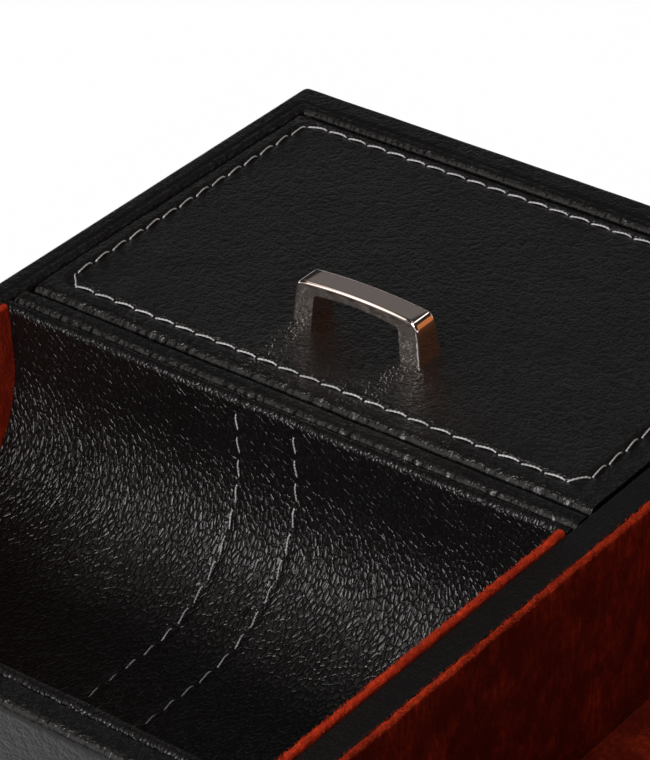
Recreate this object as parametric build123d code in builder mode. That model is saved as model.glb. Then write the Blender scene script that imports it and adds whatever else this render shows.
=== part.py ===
from build123d import *
import os
from math import atan, cos, pi, radians, sin, sqrt

os.makedirs("parts", exist_ok=True)

# A watch winder: a leather covered cabinet with two turning watch cups behind a
# glass door, under an open valet tray with a lidded box, a trough and a suede bay.
# Front is -Y, the origin is on the standing surface under the middle of the case.

# Case boards and the tray
BAY_LENGTH = 124.0
SIDE_WALL = 6.0
PARTITION = 6.0
FRONT_WALL = 5.4
BACK_WALL = 8.0
DIVIDER = 4.4
RECESS_DEPTH = 79.5
FOOT_HEIGHT = 6.0
BASE_BOARD = 8.0
CHAMBER_HEIGHT = 112.0
DECK_BOARD = 8.0
RIM_ROUND = 1.3
LIP_ROUND = 1.2
CORNER_ROUND = 2.5

# Leather trough
TROUGH_WIDTH = 77.5
TROUGH_STRAIGHT = 10.4
TROUGH_RADIUS = 27.0
INSERT_WALL = 2.6

# Suede linings
LINING = 1.5
LINING_PROUD = 0.5
LINING_ROUND = 0.6
FLOOR_PAD = 2.0
PAD_ROUND = 0.8
BOX_LINER = 2.5

# Lid and its pin hinge
LID_THICKNESS = 5.0
LID_GAP = 0.55
LID_SEAT_GAP = 0.2
LID_LINING = 1.2
LID_LINING_INSET = 1.5
LID_PIN_RADIUS = 1.0
PIN_DEPTH = 4.5

# Polished bail handle, used on the lid and on the door
HANDLE_BASE = 28.6
HANDLE_TOP = 24.6
HANDLE_OPENING = 19.9
HANDLE_OPENING_TOP = 18.7
HANDLE_HEIGHT = 9.0
HANDLE_SHOULDER = 8.3
HANDLE_BAR = 2.0
HANDLE_WIDTH = 6.3
HANDLE_TOP_WIDTH = 4.9
HANDLE_ROUND = 2.2
HANDLE_EDGE_ROUND = 0.6
HANDLE_SETBACK = 18.3
HANDLE_OFFSET = 1.6
HANDLE_SCREW_SPACING = 24.0
HANDLE_SCREW_RADIUS = 1.0
HANDLE_SCREW_BITE = 2.5
SCREW_HEAD_RADIUS = 1.9
SCREW_HEAD_DEPTH = 1.2

# Glass door
DOOR_THICKNESS = 10.0
DOOR_GAP = 0.5
DOOR_BAR = 13.0
GLASS_THICKNESS = 3.0
GLASS_REBATE = 4.0
GLASS_FRONT_LIP = 3.0
DOOR_PIN_RADIUS = 2.0
DOOR_PIN_DEPTH = 6.0
MAGNET_RADIUS = 3.0
MAGNET_DEPTH = 2.0
CATCH_REACH = 9.0
CATCH_DEPTH = 5.0
CATCH_HEIGHT = 14.0
CATCH_GAP = 0.3
CATCH_ROUND = 1.2

# Winding rotors
FASCIA_SETBACK = 48.0
FASCIA_THICKNESS = 4.0
FASCIA_GAP = 2.0
TRIM_WIDTH = 4.0
TRIM_THICKNESS = 1.5
TRIM_CHAMFER = 0.6
TRIM_MARGIN = 2.0
CUP_WALL = 2.5
CUP_MOUTH_ROUND = 1.1
CUP_PROUD = 3.0
CUP_FLOOR = 3.0
HUB_RADIUS = 10.0
HUB_LENGTH = 20.0
HUB_RECESS_RADIUS = 8.0
HUB_RECESS_DEPTH = 4.0
CHEEK_SETBACK = 9.5
CHEEK_THICKNESS = 8.7
CUSHION_SETBACK = 6.0
AXLE_RADIUS = 4.0
AXLE_NECK = 3.0
AXLE_COLLAR_RADIUS = 9.0
AXLE_COLLAR = 4.7
CLIP_RADIUS = 6.5
CLIP_THICKNESS = 1.0
END_FLOAT = 0.3
MOTOR_BOARD = 3.0

# Gears
MODULE = 1.25
GEAR_TEETH = 48
PINION_TEETH = 12
PRESSURE_ANGLE = 25.0
GEAR_WIDTH = 8.0
GEAR_OFFSET = 3.0
GEAR_HOLE_RADIUS = 5.0
GEAR_HOLES = 6
BACKLASH = 0.16
DEDENDUM = 1.25

# Motors
MOTOR_RADIUS = 12.0
MOTOR_LENGTH = 26.0
MOTOR_REAR_GAP = 7.0
MOTOR_BOSS_RADIUS = 4.0
MOTOR_SHAFT_RADIUS = 1.5
SHAFT_DEPTH = 9.0
MOTOR_EAR = 17.0
MOTOR_EAR_RADIUS = 3.5
MOTOR_EAR_THICKNESS = 2.0
MOTOR_SCREW_RADIUS = 1.5

# Watch cushions
CUSHION_HEIGHT = 44.0
CUSHION_DEPTH = 42.0
CUSHION_CORNER = 15.0
CUSHION_DRAW = 5.0
SOFT_GAP = 0.3

# Rear cover and the controls on it
COVER_WIDTH = 150.0
COVER_HEIGHT = 84.0
COVER_THICKNESS = 3.0
COVER_REBATE = 8.0
COVER_FIT = 0.3
COVER_SCREW_RADIUS = 1.5
COVER_SCREW_ROUND = 0.9
COVER_SCREW_INSET = 4.0
VENT_COUNT = 6
VENT_LENGTH = 8.0
VENT_WIDTH = 2.4
VENT_PITCH = 6.0
VENT_RAISE = 16.0
POST_RADIUS = 3.0
POST_LENGTH = 9.4
BOARD_THICKNESS = 1.6
BOARD_MARGIN = 6.0
KNOB_SPACING = 84.0
KNOB_RADIUS = 9.0
KNOB_SHAFT_RADIUS = 3.0
KNOB_HEIGHT = 9.0
KNOB_GAP = 0.4
KNOB_FLUTES = 12
KNOB_FLUTE_RADIUS = 0.8
KNOB_MARK_WIDTH = 1.2
KNOB_MARK_LENGTH = 5.4
KNOB_MARK_DEPTH = 0.4
POT_RADIUS = 8.0
POT_DEPTH = 7.0
SWITCH_DROP = 28.0
SWITCH_WIDTH = 13.0
SWITCH_LENGTH = 19.0
SWITCH_WALL = 1.5
SWITCH_DEPTH = 8.0
ROCKER_TILT = 9.0
ROCKER_PIVOT_DEPTH = 5.0
ROCKER_PIN_RADIUS = 1.2
ROCKER_END_GAP = 1.2
ROCKER_HORN = 7.0
ROCKER_WAIST = 2.5
ROCKER_KEEL = 1.8
INLET_RAISE = 26.0
INLET_BARREL_RADIUS = 2.8
INLET_BARREL_WALL = 0.4
INLET_PIN_RADIUS = 1.0
INLET_BODY = 11.0
INLET_DEPTH = 9.0

# Feet
FOOT_RADIUS = 8.0
FOOT_INSET = 16.0
FOOT_ROUND = 1.2
FOOT_SCREW_RADIUS = 1.8

# Fits
RUNNING = 0.05
SEATED = 0.02

# Levels worked out from the boards
CHAMBER_FLOOR = FOOT_HEIGHT + BASE_BOARD
CHAMBER_TOP = CHAMBER_FLOOR + CHAMBER_HEIGHT
DECK_TOP = CHAMBER_TOP + DECK_BOARD
TRAY_DEPTH = TROUGH_STRAIGHT + TROUGH_RADIUS + INSERT_WALL
RIM = DECK_TOP + TRAY_DEPTH

# Places across the case
HALF_INSIDE = BAY_LENGTH + PARTITION / 2
HALF_OUTSIDE = HALF_INSIDE + SIDE_WALL
BOX_LEFT = -HALF_INSIDE
BOX_RIGHT = -PARTITION / 2
BOX_MIDDLE = (BOX_LEFT + BOX_RIGHT) / 2

# Places from front to back
TRAY_LENGTHS = [FRONT_WALL, INSERT_WALL, TROUGH_WIDTH, INSERT_WALL, DIVIDER, RECESS_DEPTH, BACK_WALL]
CASE_DEPTH = sum(TRAY_LENGTHS)
FRONT = -CASE_DEPTH / 2
BACK = CASE_DEPTH / 2
TRAY_FRONT = FRONT + FRONT_WALL
TROUGH_FRONT = TRAY_FRONT + INSERT_WALL
TROUGH_BACK = TROUGH_FRONT + TROUGH_WIDTH
DIVIDER_FRONT = TROUGH_BACK + INSERT_WALL
RECESS_FRONT = DIVIDER_FRONT + DIVIDER
TRAY_BACK = BACK - BACK_WALL

# Lid places
LID_RADIUS = LID_THICKNESS / 2
LID_BOTTOM = RIM - LID_THICKNESS
LID_FRONT = RECESS_FRONT + LID_GAP
LID_LEFT = BOX_LEFT + LID_GAP
LID_RIGHT = BOX_RIGHT - LID_GAP
LID_PIVOT_Y = TRAY_BACK - LID_GAP - LID_RADIUS
LID_PIVOT_Z = RIM - LID_RADIUS
HANDLE_X = BOX_MIDDLE - HANDLE_OFFSET
HANDLE_Y = LID_FRONT + HANDLE_SETBACK + HANDLE_WIDTH / 2
BOX_LINER_TOP = LID_BOTTOM - LID_SEAT_GAP

# Door places
DOOR_RADIUS = DOOR_THICKNESS / 2
DOOR_BACK = FRONT + DOOR_THICKNESS
DOOR_LEFT = -HALF_INSIDE + DOOR_GAP
DOOR_RIGHT = HALF_INSIDE - DOOR_GAP
DOOR_BOTTOM = CHAMBER_FLOOR + DOOR_GAP
DOOR_TOP = CHAMBER_TOP - DOOR_GAP
DOOR_PIVOT_X = DOOR_LEFT + DOOR_RADIUS
DOOR_PIVOT_Y = FRONT + DOOR_RADIUS
CHAMBER_MIDDLE = (CHAMBER_FLOOR + CHAMBER_TOP) / 2
GLASS_FRONT = FRONT + GLASS_FRONT_LIP
CATCH_Z = DOOR_TOP - DOOR_BAR - CATCH_HEIGHT

# Rear cover places
COVER_FRONT = BACK - COVER_THICKNESS
BOARD_BACK = COVER_FRONT - POST_LENGTH
BOARD_FRONT = BOARD_BACK - BOARD_THICKNESS
BOARD_WIDTH = COVER_WIDTH - 2 * COVER_REBATE - 2 * BOARD_MARGIN
BOARD_HEIGHT = COVER_HEIGHT - 2 * COVER_REBATE - 2 * BOARD_MARGIN
POST_X = BOARD_WIDTH / 2 - POST_RADIUS
POST_Z = BOARD_HEIGHT / 2 - POST_RADIUS
SWITCH_Z = CHAMBER_MIDDLE + COVER_HEIGHT / 2 - SWITCH_DROP
INLET_Z = CHAMBER_MIDDLE - COVER_HEIGHT / 2 + INLET_RAISE
VENT_Z = CHAMBER_MIDDLE - COVER_HEIGHT / 2 + VENT_RAISE
ROCKER_PIVOT_Y = BACK - ROCKER_PIVOT_DEPTH

# Rotor places, worked out from the control board forwards
ROTOR_X = HALF_INSIDE / 2
FASCIA_FRONT = FRONT + FASCIA_SETBACK
CUP_FRONT = FASCIA_FRONT - CUP_PROUD
MOTOR_BOARD_BACK = BOARD_FRONT - MOTOR_REAR_GAP - MOTOR_LENGTH
MOTOR_BOARD_FRONT = MOTOR_BOARD_BACK - MOTOR_BOARD
HUB_END = MOTOR_BOARD_FRONT - AXLE_COLLAR - END_FLOAT
CUP_FLOOR_BACK = HUB_END - HUB_LENGTH
CUP_FLOOR_FRONT = CUP_FLOOR_BACK - CUP_FLOOR
CUP_RADIUS = CHAMBER_HEIGHT / 2 - TRIM_MARGIN - TRIM_WIDTH - FASCIA_GAP
CUP_INSIDE = CUP_RADIUS - CUP_WALL
BORE_START = CUP_FLOOR_FRONT + HUB_RECESS_DEPTH
GEAR_FRONT = CUP_FLOOR_BACK + GEAR_OFFSET
GEAR_BACK = GEAR_FRONT + GEAR_WIDTH
GEAR_CENTRES = MODULE * (GEAR_TEETH + PINION_TEETH) / 2
MOTOR_X = ROTOR_X - GEAR_CENTRES
CHEEK_FRONT = CUP_FRONT + CHEEK_SETBACK
CHEEK_BACK = CUP_FLOOR_FRONT - LINING
CHEEK_INSIDE = CUP_INSIDE - LINING - CHEEK_THICKNESS
CUSHION_LENGTH = 2 * (CHEEK_INSIDE - SOFT_GAP)
CUSHION_Y = CHEEK_BACK - CUSHION_SETBACK - CUSHION_DEPTH / 2

SIDES = {"left": -1, "right": 1}


def keep(piece, node):
    """Label a finished piece and write it under its own name."""
    piece.part.label = node
    export_step(piece.part, f"parts/{node}.step")


def span(low, high):
    """The middle and the length of a stretch."""
    return (low + high) / 2, high - low


def block(x_ends, y_ends, z_ends, mode=Mode.ADD):
    """A square cornered board between two ends along each axis."""
    x_mid, x_size = span(*x_ends)
    y_mid, y_size = span(*y_ends)
    z_mid, z_size = span(*z_ends)
    with Locations((x_mid, y_mid, z_mid)):
        return Box(x_size, y_size, z_size, mode=mode)


def facing(y, x=0.0, z=0.0):
    """A plane looking to the front, whose sketch axes are X and Z."""
    return Plane(origin=(x, y, z), x_dir=(1, 0, 0), z_dir=(0, -1, 0))


def facing_back(y, x=0.0, z=0.0):
    """A plane looking to the back, whose sketch axes are -X and Z."""
    return Plane(origin=(x, y, z), x_dir=(-1, 0, 0), z_dir=(0, 1, 0))


def turned_about(x, z):
    """The plane and the axis that turned rotor pieces are drawn and spun with."""
    return Plane(origin=(x, 0, z), x_dir=(1, 0, 0), z_dir=(0, 0, 1)), Axis((x, 0, z), (0, 1, 0))


# Side walls, full depth, with rounded rims and rounded outer corners
for side, sign in SIDES.items():
    with BuildPart() as side_wall:
        block(sorted((sign * HALF_INSIDE, sign * HALF_OUTSIDE)), (FRONT, BACK), (FOOT_HEIGHT, RIM))
        outer_face = side_wall.faces().sort_by(Axis.X)[0 if sign < 0 else -1]
        fillet(outer_face.edges().filter_by(Axis.Z), CORNER_ROUND)
        fillet(side_wall.faces().sort_by(Axis.Z)[-1].edges(), RIM_ROUND)
        if sign < 0:
            with BuildSketch(Plane.YZ.offset(-HALF_INSIDE)):
                with Locations((LID_PIVOT_Y, LID_PIVOT_Z)):
                    Circle(LID_PIN_RADIUS + SEATED)
            extrude(amount=-PIN_DEPTH, mode=Mode.SUBTRACT)
    keep(side_wall, f"{side}_wall")

# Back wall with a stepped service opening
with BuildPart() as back_wall:
    block((-HALF_INSIDE, HALF_INSIDE), (TRAY_BACK, BACK), (FOOT_HEIGHT, RIM))
    fillet(back_wall.faces().sort_by(Axis.Z)[-1].edges().filter_by(Axis.X), RIM_ROUND)
    with BuildSketch(facing_back(BACK, z=CHAMBER_MIDDLE)):
        Rectangle(COVER_WIDTH, COVER_HEIGHT)
    extrude(amount=-COVER_THICKNESS, mode=Mode.SUBTRACT)
    with BuildSketch(facing_back(BACK, z=CHAMBER_MIDDLE)):
        Rectangle(COVER_WIDTH - 2 * COVER_REBATE, COVER_HEIGHT - 2 * COVER_REBATE)
    extrude(amount=-BACK_WALL, mode=Mode.SUBTRACT)
    with BuildSketch(facing_back(COVER_FRONT, z=CHAMBER_MIDDLE)):
        with GridLocations(COVER_WIDTH - 2 * COVER_SCREW_INSET, COVER_HEIGHT - 2 * COVER_SCREW_INSET, 2, 2):
            Circle(COVER_SCREW_RADIUS + SEATED)
    extrude(amount=-(BACK_WALL - COVER_THICKNESS), mode=Mode.SUBTRACT)
keep(back_wall, "back_wall")

# Front wall of the tray, standing on the deck board above the door
with BuildPart() as tray_front_wall:
    block((-HALF_INSIDE, HALF_INSIDE), (FRONT, TRAY_FRONT), (DECK_TOP, RIM))
    fillet(tray_front_wall.faces().sort_by(Axis.Z)[-1].edges().filter_by(Axis.X), RIM_ROUND)
keep(tray_front_wall, "tray_front_wall")

# Board that is the tray's floor and the chamber's ceiling
with BuildPart() as deck_board:
    block((-HALF_INSIDE, HALF_INSIDE), (FRONT, TRAY_BACK), (CHAMBER_TOP, DECK_TOP))
    with BuildSketch(Plane.XY.offset(CHAMBER_TOP)):
        with Locations((DOOR_PIVOT_X, DOOR_PIVOT_Y)):
            Circle(DOOR_PIN_RADIUS + SEATED)
    extrude(amount=DOOR_PIN_DEPTH, mode=Mode.SUBTRACT)
keep(deck_board, "deck_board")

# Base board with the lower door pin hole and the foot screw holes
with BuildPart() as base_board:
    block((-HALF_INSIDE, HALF_INSIDE), (FRONT, TRAY_BACK), (FOOT_HEIGHT, CHAMBER_FLOOR))
    fillet(base_board.faces().sort_by(Axis.Y)[0].edges().filter_by(Axis.X), RIM_ROUND)
    with BuildSketch(Plane.XY.offset(CHAMBER_FLOOR)):
        with Locations((DOOR_PIVOT_X, DOOR_PIVOT_Y)):
            Circle(DOOR_PIN_RADIUS + SEATED)
    extrude(amount=-DOOR_PIN_DEPTH, mode=Mode.SUBTRACT)
    with BuildSketch(Plane.XY.offset(FOOT_HEIGHT)):
        with GridLocations(2 * (HALF_OUTSIDE - FOOT_INSET), CASE_DEPTH - 2 * FOOT_INSET, 2, 2):
            Circle(FOOT_SCREW_RADIUS + SEATED)
    extrude(amount=BASE_BOARD - SCREW_HEAD_DEPTH, mode=Mode.SUBTRACT)
keep(base_board, "base_board")

# Partition between the two bays of the tray
with BuildPart() as partition_wall:
    block((-PARTITION / 2, PARTITION / 2), (TRAY_FRONT, TRAY_BACK), (DECK_TOP, RIM))
    fillet(partition_wall.faces().sort_by(Axis.Z)[-1].edges().filter_by(Axis.Y), RIM_ROUND)
    with BuildSketch(Plane.YZ.offset(BOX_RIGHT)):
        with Locations((LID_PIVOT_Y, LID_PIVOT_Z)):
            Circle(LID_PIN_RADIUS + SEATED)
    extrude(amount=PIN_DEPTH, mode=Mode.SUBTRACT)
keep(partition_wall, "partition_wall")

# Divider bar between the trough and the lidded box
with BuildPart() as divider_bar:
    block((BOX_LEFT, BOX_RIGHT), (DIVIDER_FRONT, RECESS_FRONT), (DECK_TOP, RIM))
    fillet(divider_bar.faces().sort_by(Axis.Z)[-1].edges().filter_by(Axis.X), RIM_ROUND)
keep(divider_bar, "divider_bar")

# Leather covered trough, a bent board with rolled lips
with BuildPart() as trough_insert:
    with BuildSketch(Plane.YZ.offset(BOX_LEFT)) as trough_section:
        y_mid, y_size = span(TRAY_FRONT, DIVIDER_FRONT)
        with Locations((y_mid, (DECK_TOP + RIM) / 2)):
            Rectangle(y_size, TRAY_DEPTH)
        fillet(trough_section.vertices().group_by(Axis.Y)[0], TROUGH_RADIUS + INSERT_WALL)
        with BuildSketch(Plane.YZ.offset(BOX_LEFT), mode=Mode.PRIVATE) as channel:
            with Locations(((TROUGH_FRONT + TROUGH_BACK) / 2, (DECK_TOP + INSERT_WALL + RIM) / 2)):
                Rectangle(TROUGH_WIDTH, TRAY_DEPTH - INSERT_WALL)
            fillet(channel.vertices().group_by(Axis.Y)[0], TROUGH_RADIUS)
        add(channel.sketch_local, mode=Mode.SUBTRACT)
    extrude(amount=BAY_LENGTH)
    fillet(trough_insert.edges().filter_by(Axis.X).group_by(Axis.Z)[-1], LIP_ROUND)
keep(trough_insert, "trough_insert")

# Suede linings on the trough's two end walls, a little proud of the rim
for side, start, way in (("left", BOX_LEFT, 1), ("right", BOX_RIGHT, -1)):
    with BuildPart() as trough_lining:
        with BuildSketch(Plane.YZ.offset(start)) as end_shape:
            low, high = DECK_TOP + INSERT_WALL, RIM + LINING_PROUD
            with Locations(((TROUGH_FRONT + TROUGH_BACK) / 2, (low + high) / 2)):
                Rectangle(TROUGH_WIDTH, high - low)
            fillet(end_shape.vertices().group_by(Axis.Y)[0], TROUGH_RADIUS)
        extrude(amount=way * LINING)
        fillet(trough_lining.edges().filter_by(Axis.Y).group_by(Axis.Z)[-1], LINING_ROUND)
    keep(trough_lining, f"trough_lining_{side}")

# Suede linings of the open bay
bay_left, bay_right = PARTITION / 2, HALF_INSIDE
with BuildPart() as bay_side_linings:
    block((bay_left, bay_left + LINING), (TRAY_FRONT, TRAY_BACK), (DECK_TOP, RIM + LINING_PROUD))
    block((bay_right - LINING, bay_right), (TRAY_FRONT, TRAY_BACK), (DECK_TOP, RIM + LINING_PROUD))
    fillet(bay_side_linings.edges().filter_by(Axis.Y).group_by(Axis.Z)[-1], LINING_ROUND)
keep(bay_side_linings, "bay_side_linings")

with BuildPart() as bay_end_linings:
    inner_ends = (bay_left + LINING, bay_right - LINING)
    block(inner_ends, (TRAY_FRONT, TRAY_FRONT + LINING), (DECK_TOP, RIM + LINING_PROUD))
    block(inner_ends, (TRAY_BACK - LINING, TRAY_BACK), (DECK_TOP, RIM + LINING_PROUD))
    fillet(bay_end_linings.edges().filter_by(Axis.X).group_by(Axis.Z)[-1], LINING_ROUND)
keep(bay_end_linings, "bay_end_linings")

with BuildPart() as bay_floor_pad:
    block(inner_ends, (TRAY_FRONT + LINING, TRAY_BACK - LINING), (DECK_TOP, DECK_TOP + FLOOR_PAD))
    fillet(bay_floor_pad.faces().sort_by(Axis.Z)[-1].edges(), PAD_ROUND)
keep(bay_floor_pad, "bay_floor_pad")

# Liner of the lidded box, whose top edge carries the lid
with BuildPart() as box_liner:
    block((BOX_LEFT, BOX_RIGHT), (RECESS_FRONT, TRAY_BACK), (DECK_TOP, BOX_LINER_TOP))
    block(
        (BOX_LEFT + BOX_LINER, BOX_RIGHT - BOX_LINER),
        (RECESS_FRONT + BOX_LINER, TRAY_BACK - BOX_LINER),
        (DECK_TOP, BOX_LINER_TOP),
        mode=Mode.SUBTRACT,
    )
keep(box_liner, "box_liner")

with BuildPart() as box_floor_pad:
    block(
        (BOX_LEFT + BOX_LINER, BOX_RIGHT - BOX_LINER),
        (RECESS_FRONT + BOX_LINER, TRAY_BACK - BOX_LINER),
        (DECK_TOP, DECK_TOP + FLOOR_PAD),
    )
    fillet(box_floor_pad.faces().sort_by(Axis.Z)[-1].edges(), PAD_ROUND)
keep(box_floor_pad, "box_floor_pad")

# Lid, with its back edge rounded about the hinge pins
with BuildPart() as lid_board:
    with BuildSketch(Plane.YZ.offset(LID_LEFT)):
        with BuildLine():
            Line((LID_PIVOT_Y, RIM), (LID_FRONT, RIM))
            Line((LID_FRONT, RIM), (LID_FRONT, LID_BOTTOM))
            Line((LID_FRONT, LID_BOTTOM), (LID_PIVOT_Y, LID_BOTTOM))
            ThreePointArc(
                (LID_PIVOT_Y, LID_BOTTOM),
                (LID_PIVOT_Y + LID_RADIUS, LID_PIVOT_Z),
                (LID_PIVOT_Y, RIM),
            )
        make_face()
    extrude(amount=LID_RIGHT - LID_LEFT)
    top_edges = lid_board.faces().sort_by(Axis.Z)[-1].edges()
    fillet(top_edges.sort_by(Axis.Y)[:-1], RIM_ROUND)
    for end, way in ((LID_LEFT, 1), (LID_RIGHT, -1)):
        with BuildSketch(Plane.YZ.offset(end)):
            with Locations((LID_PIVOT_Y, LID_PIVOT_Z)):
                Circle(LID_PIN_RADIUS + RUNNING)
        extrude(amount=way * PIN_DEPTH, mode=Mode.SUBTRACT)
    with BuildSketch(Plane.XY.offset(LID_BOTTOM)):
        with Locations((HANDLE_X, HANDLE_Y)):
            with GridLocations(HANDLE_SCREW_SPACING, 0, 2, 1):
                Circle(HANDLE_SCREW_RADIUS + SEATED)
    extrude(amount=LID_THICKNESS, mode=Mode.SUBTRACT)
    with BuildSketch(Plane.XY.offset(LID_BOTTOM)):
        with Locations((HANDLE_X, HANDLE_Y)):
            with GridLocations(HANDLE_SCREW_SPACING, 0, 2, 1):
                Circle(SCREW_HEAD_RADIUS + SEATED)
    extrude(amount=SCREW_HEAD_DEPTH, mode=Mode.SUBTRACT)
keep(lid_board, "lid_board")

lid_lining_x = (
    BOX_LEFT + BOX_LINER + LID_LINING_INSET,
    BOX_RIGHT - BOX_LINER - LID_LINING_INSET,
)
lid_lining_y = (RECESS_FRONT + BOX_LINER + LID_LINING_INSET, LID_PIVOT_Y - LID_THICKNESS)
with BuildPart() as lid_lining:
    block(lid_lining_x, lid_lining_y, (LID_BOTTOM - LID_LINING, LID_BOTTOM))
    fillet(lid_lining.edges().filter_by(Axis.Z), LID_LINING)
keep(lid_lining, "lid_lining")

# Two hinge pins, seated in the left wall and in the partition
with BuildPart() as lid_pins:
    for end, way in ((BOX_LEFT, 1), (BOX_RIGHT, -1)):
        reach = PIN_DEPTH + LID_GAP - END_FLOAT
        with BuildSketch(Plane.YZ.offset(end - way * PIN_DEPTH)):
            with Locations((LID_PIVOT_Y, LID_PIVOT_Z)):
                Circle(LID_PIN_RADIUS)
        extrude(amount=way * (PIN_DEPTH + reach))
keep(lid_pins, "lid_pins")


def arched_bar(base, top, inset):
    """A splayed outline with an arched top, lower than the handle's by the inset."""
    shoulder = HANDLE_SHOULDER - inset
    with BuildSketch(mode=Mode.PRIVATE) as outline:
        with BuildLine():
            Line((-base / 2, 0), (-top / 2, shoulder))
            ThreePointArc((-top / 2, shoulder), (0, HANDLE_HEIGHT - inset), (top / 2, shoulder))
            Line((top / 2, shoulder), (base / 2, 0))
            Line((base / 2, 0), (-base / 2, 0))
        make_face()
    return outline.sketch


def outside_bail(seat, edge):
    """Whether an edge of a handle lies on its outer outline, above its feet."""
    middle = seat.to_local_coords(edge @ 0.5)
    beside = abs(middle.X) > HANDLE_OPENING / 2
    over = middle.Z > HANDLE_HEIGHT - HANDLE_BAR / 2
    return (beside or over) and middle.Z > HANDLE_EDGE_ROUND


def bail_handle(seat):
    """Bail handle with splayed legs and an arched bar, its feet on the given plane."""
    with BuildPart() as handle:
        with BuildSketch(Plane(origin=seat.origin, x_dir=seat.x_dir, z_dir=seat.y_dir * -1)) as bail:
            add(arched_bar(HANDLE_BASE, HANDLE_TOP, 0))
            fillet(bail.vertices().group_by(Axis.Y)[-1], HANDLE_ROUND)
            add(arched_bar(HANDLE_OPENING, HANDLE_OPENING_TOP, HANDLE_BAR), mode=Mode.SUBTRACT)
        extrude(amount=HANDLE_WIDTH / 2, both=True)
        with BuildSketch(Plane(origin=seat.origin, x_dir=seat.y_dir, z_dir=seat.x_dir)):
            with BuildLine():
                Polyline(
                    (-HANDLE_WIDTH / 2, 0),
                    (-HANDLE_TOP_WIDTH / 2, HANDLE_HEIGHT),
                    (HANDLE_TOP_WIDTH / 2, HANDLE_HEIGHT),
                    (HANDLE_WIDTH / 2, 0),
                    close=True,
                )
            make_face()
        extrude(amount=HANDLE_BASE, both=True, mode=Mode.INTERSECT)
        across = Axis(seat.origin, seat.y_dir)
        for face in (handle.faces().sort_by(across)[0], handle.faces().sort_by(across)[-1]):
            fillet(face.edges().filter_by(lambda edge: outside_bail(seat, edge)), HANDLE_EDGE_ROUND)
        with BuildSketch(seat):
            with GridLocations(HANDLE_SCREW_SPACING, 0, 2, 1):
                Circle(HANDLE_SCREW_RADIUS + SEATED)
        extrude(amount=HANDLE_SCREW_BITE, mode=Mode.SUBTRACT)
    return handle


def handle_screws(seat, board_thickness):
    """Two screws that hold a handle from behind its board."""
    with BuildPart() as screws:
        with BuildSketch(seat):
            with GridLocations(HANDLE_SCREW_SPACING, 0, 2, 1):
                Circle(HANDLE_SCREW_RADIUS)
        extrude(amount=HANDLE_SCREW_BITE)
        extrude(screws.faces().sort_by(Axis(seat.origin, seat.z_dir))[:2], amount=board_thickness)
        with BuildSketch(seat.offset(-board_thickness)):
            with GridLocations(HANDLE_SCREW_SPACING, 0, 2, 1):
                Circle(SCREW_HEAD_RADIUS)
        extrude(amount=SCREW_HEAD_DEPTH)
    return screws


LID_HANDLE_SEAT = Plane(origin=(HANDLE_X, HANDLE_Y, RIM), x_dir=(1, 0, 0), z_dir=(0, 0, 1))
DOOR_HANDLE_SEAT = Plane(
    origin=(DOOR_RIGHT - DOOR_BAR / 2, FRONT, CHAMBER_MIDDLE), x_dir=(0, 0, 1), z_dir=(0, -1, 0)
)
keep(bail_handle(LID_HANDLE_SEAT), "lid_handle")
keep(handle_screws(LID_HANDLE_SEAT, LID_THICKNESS), "lid_handle_screws")
keep(bail_handle(DOOR_HANDLE_SEAT), "door_handle")
keep(handle_screws(DOOR_HANDLE_SEAT, DOOR_THICKNESS), "door_handle_screws")

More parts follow.
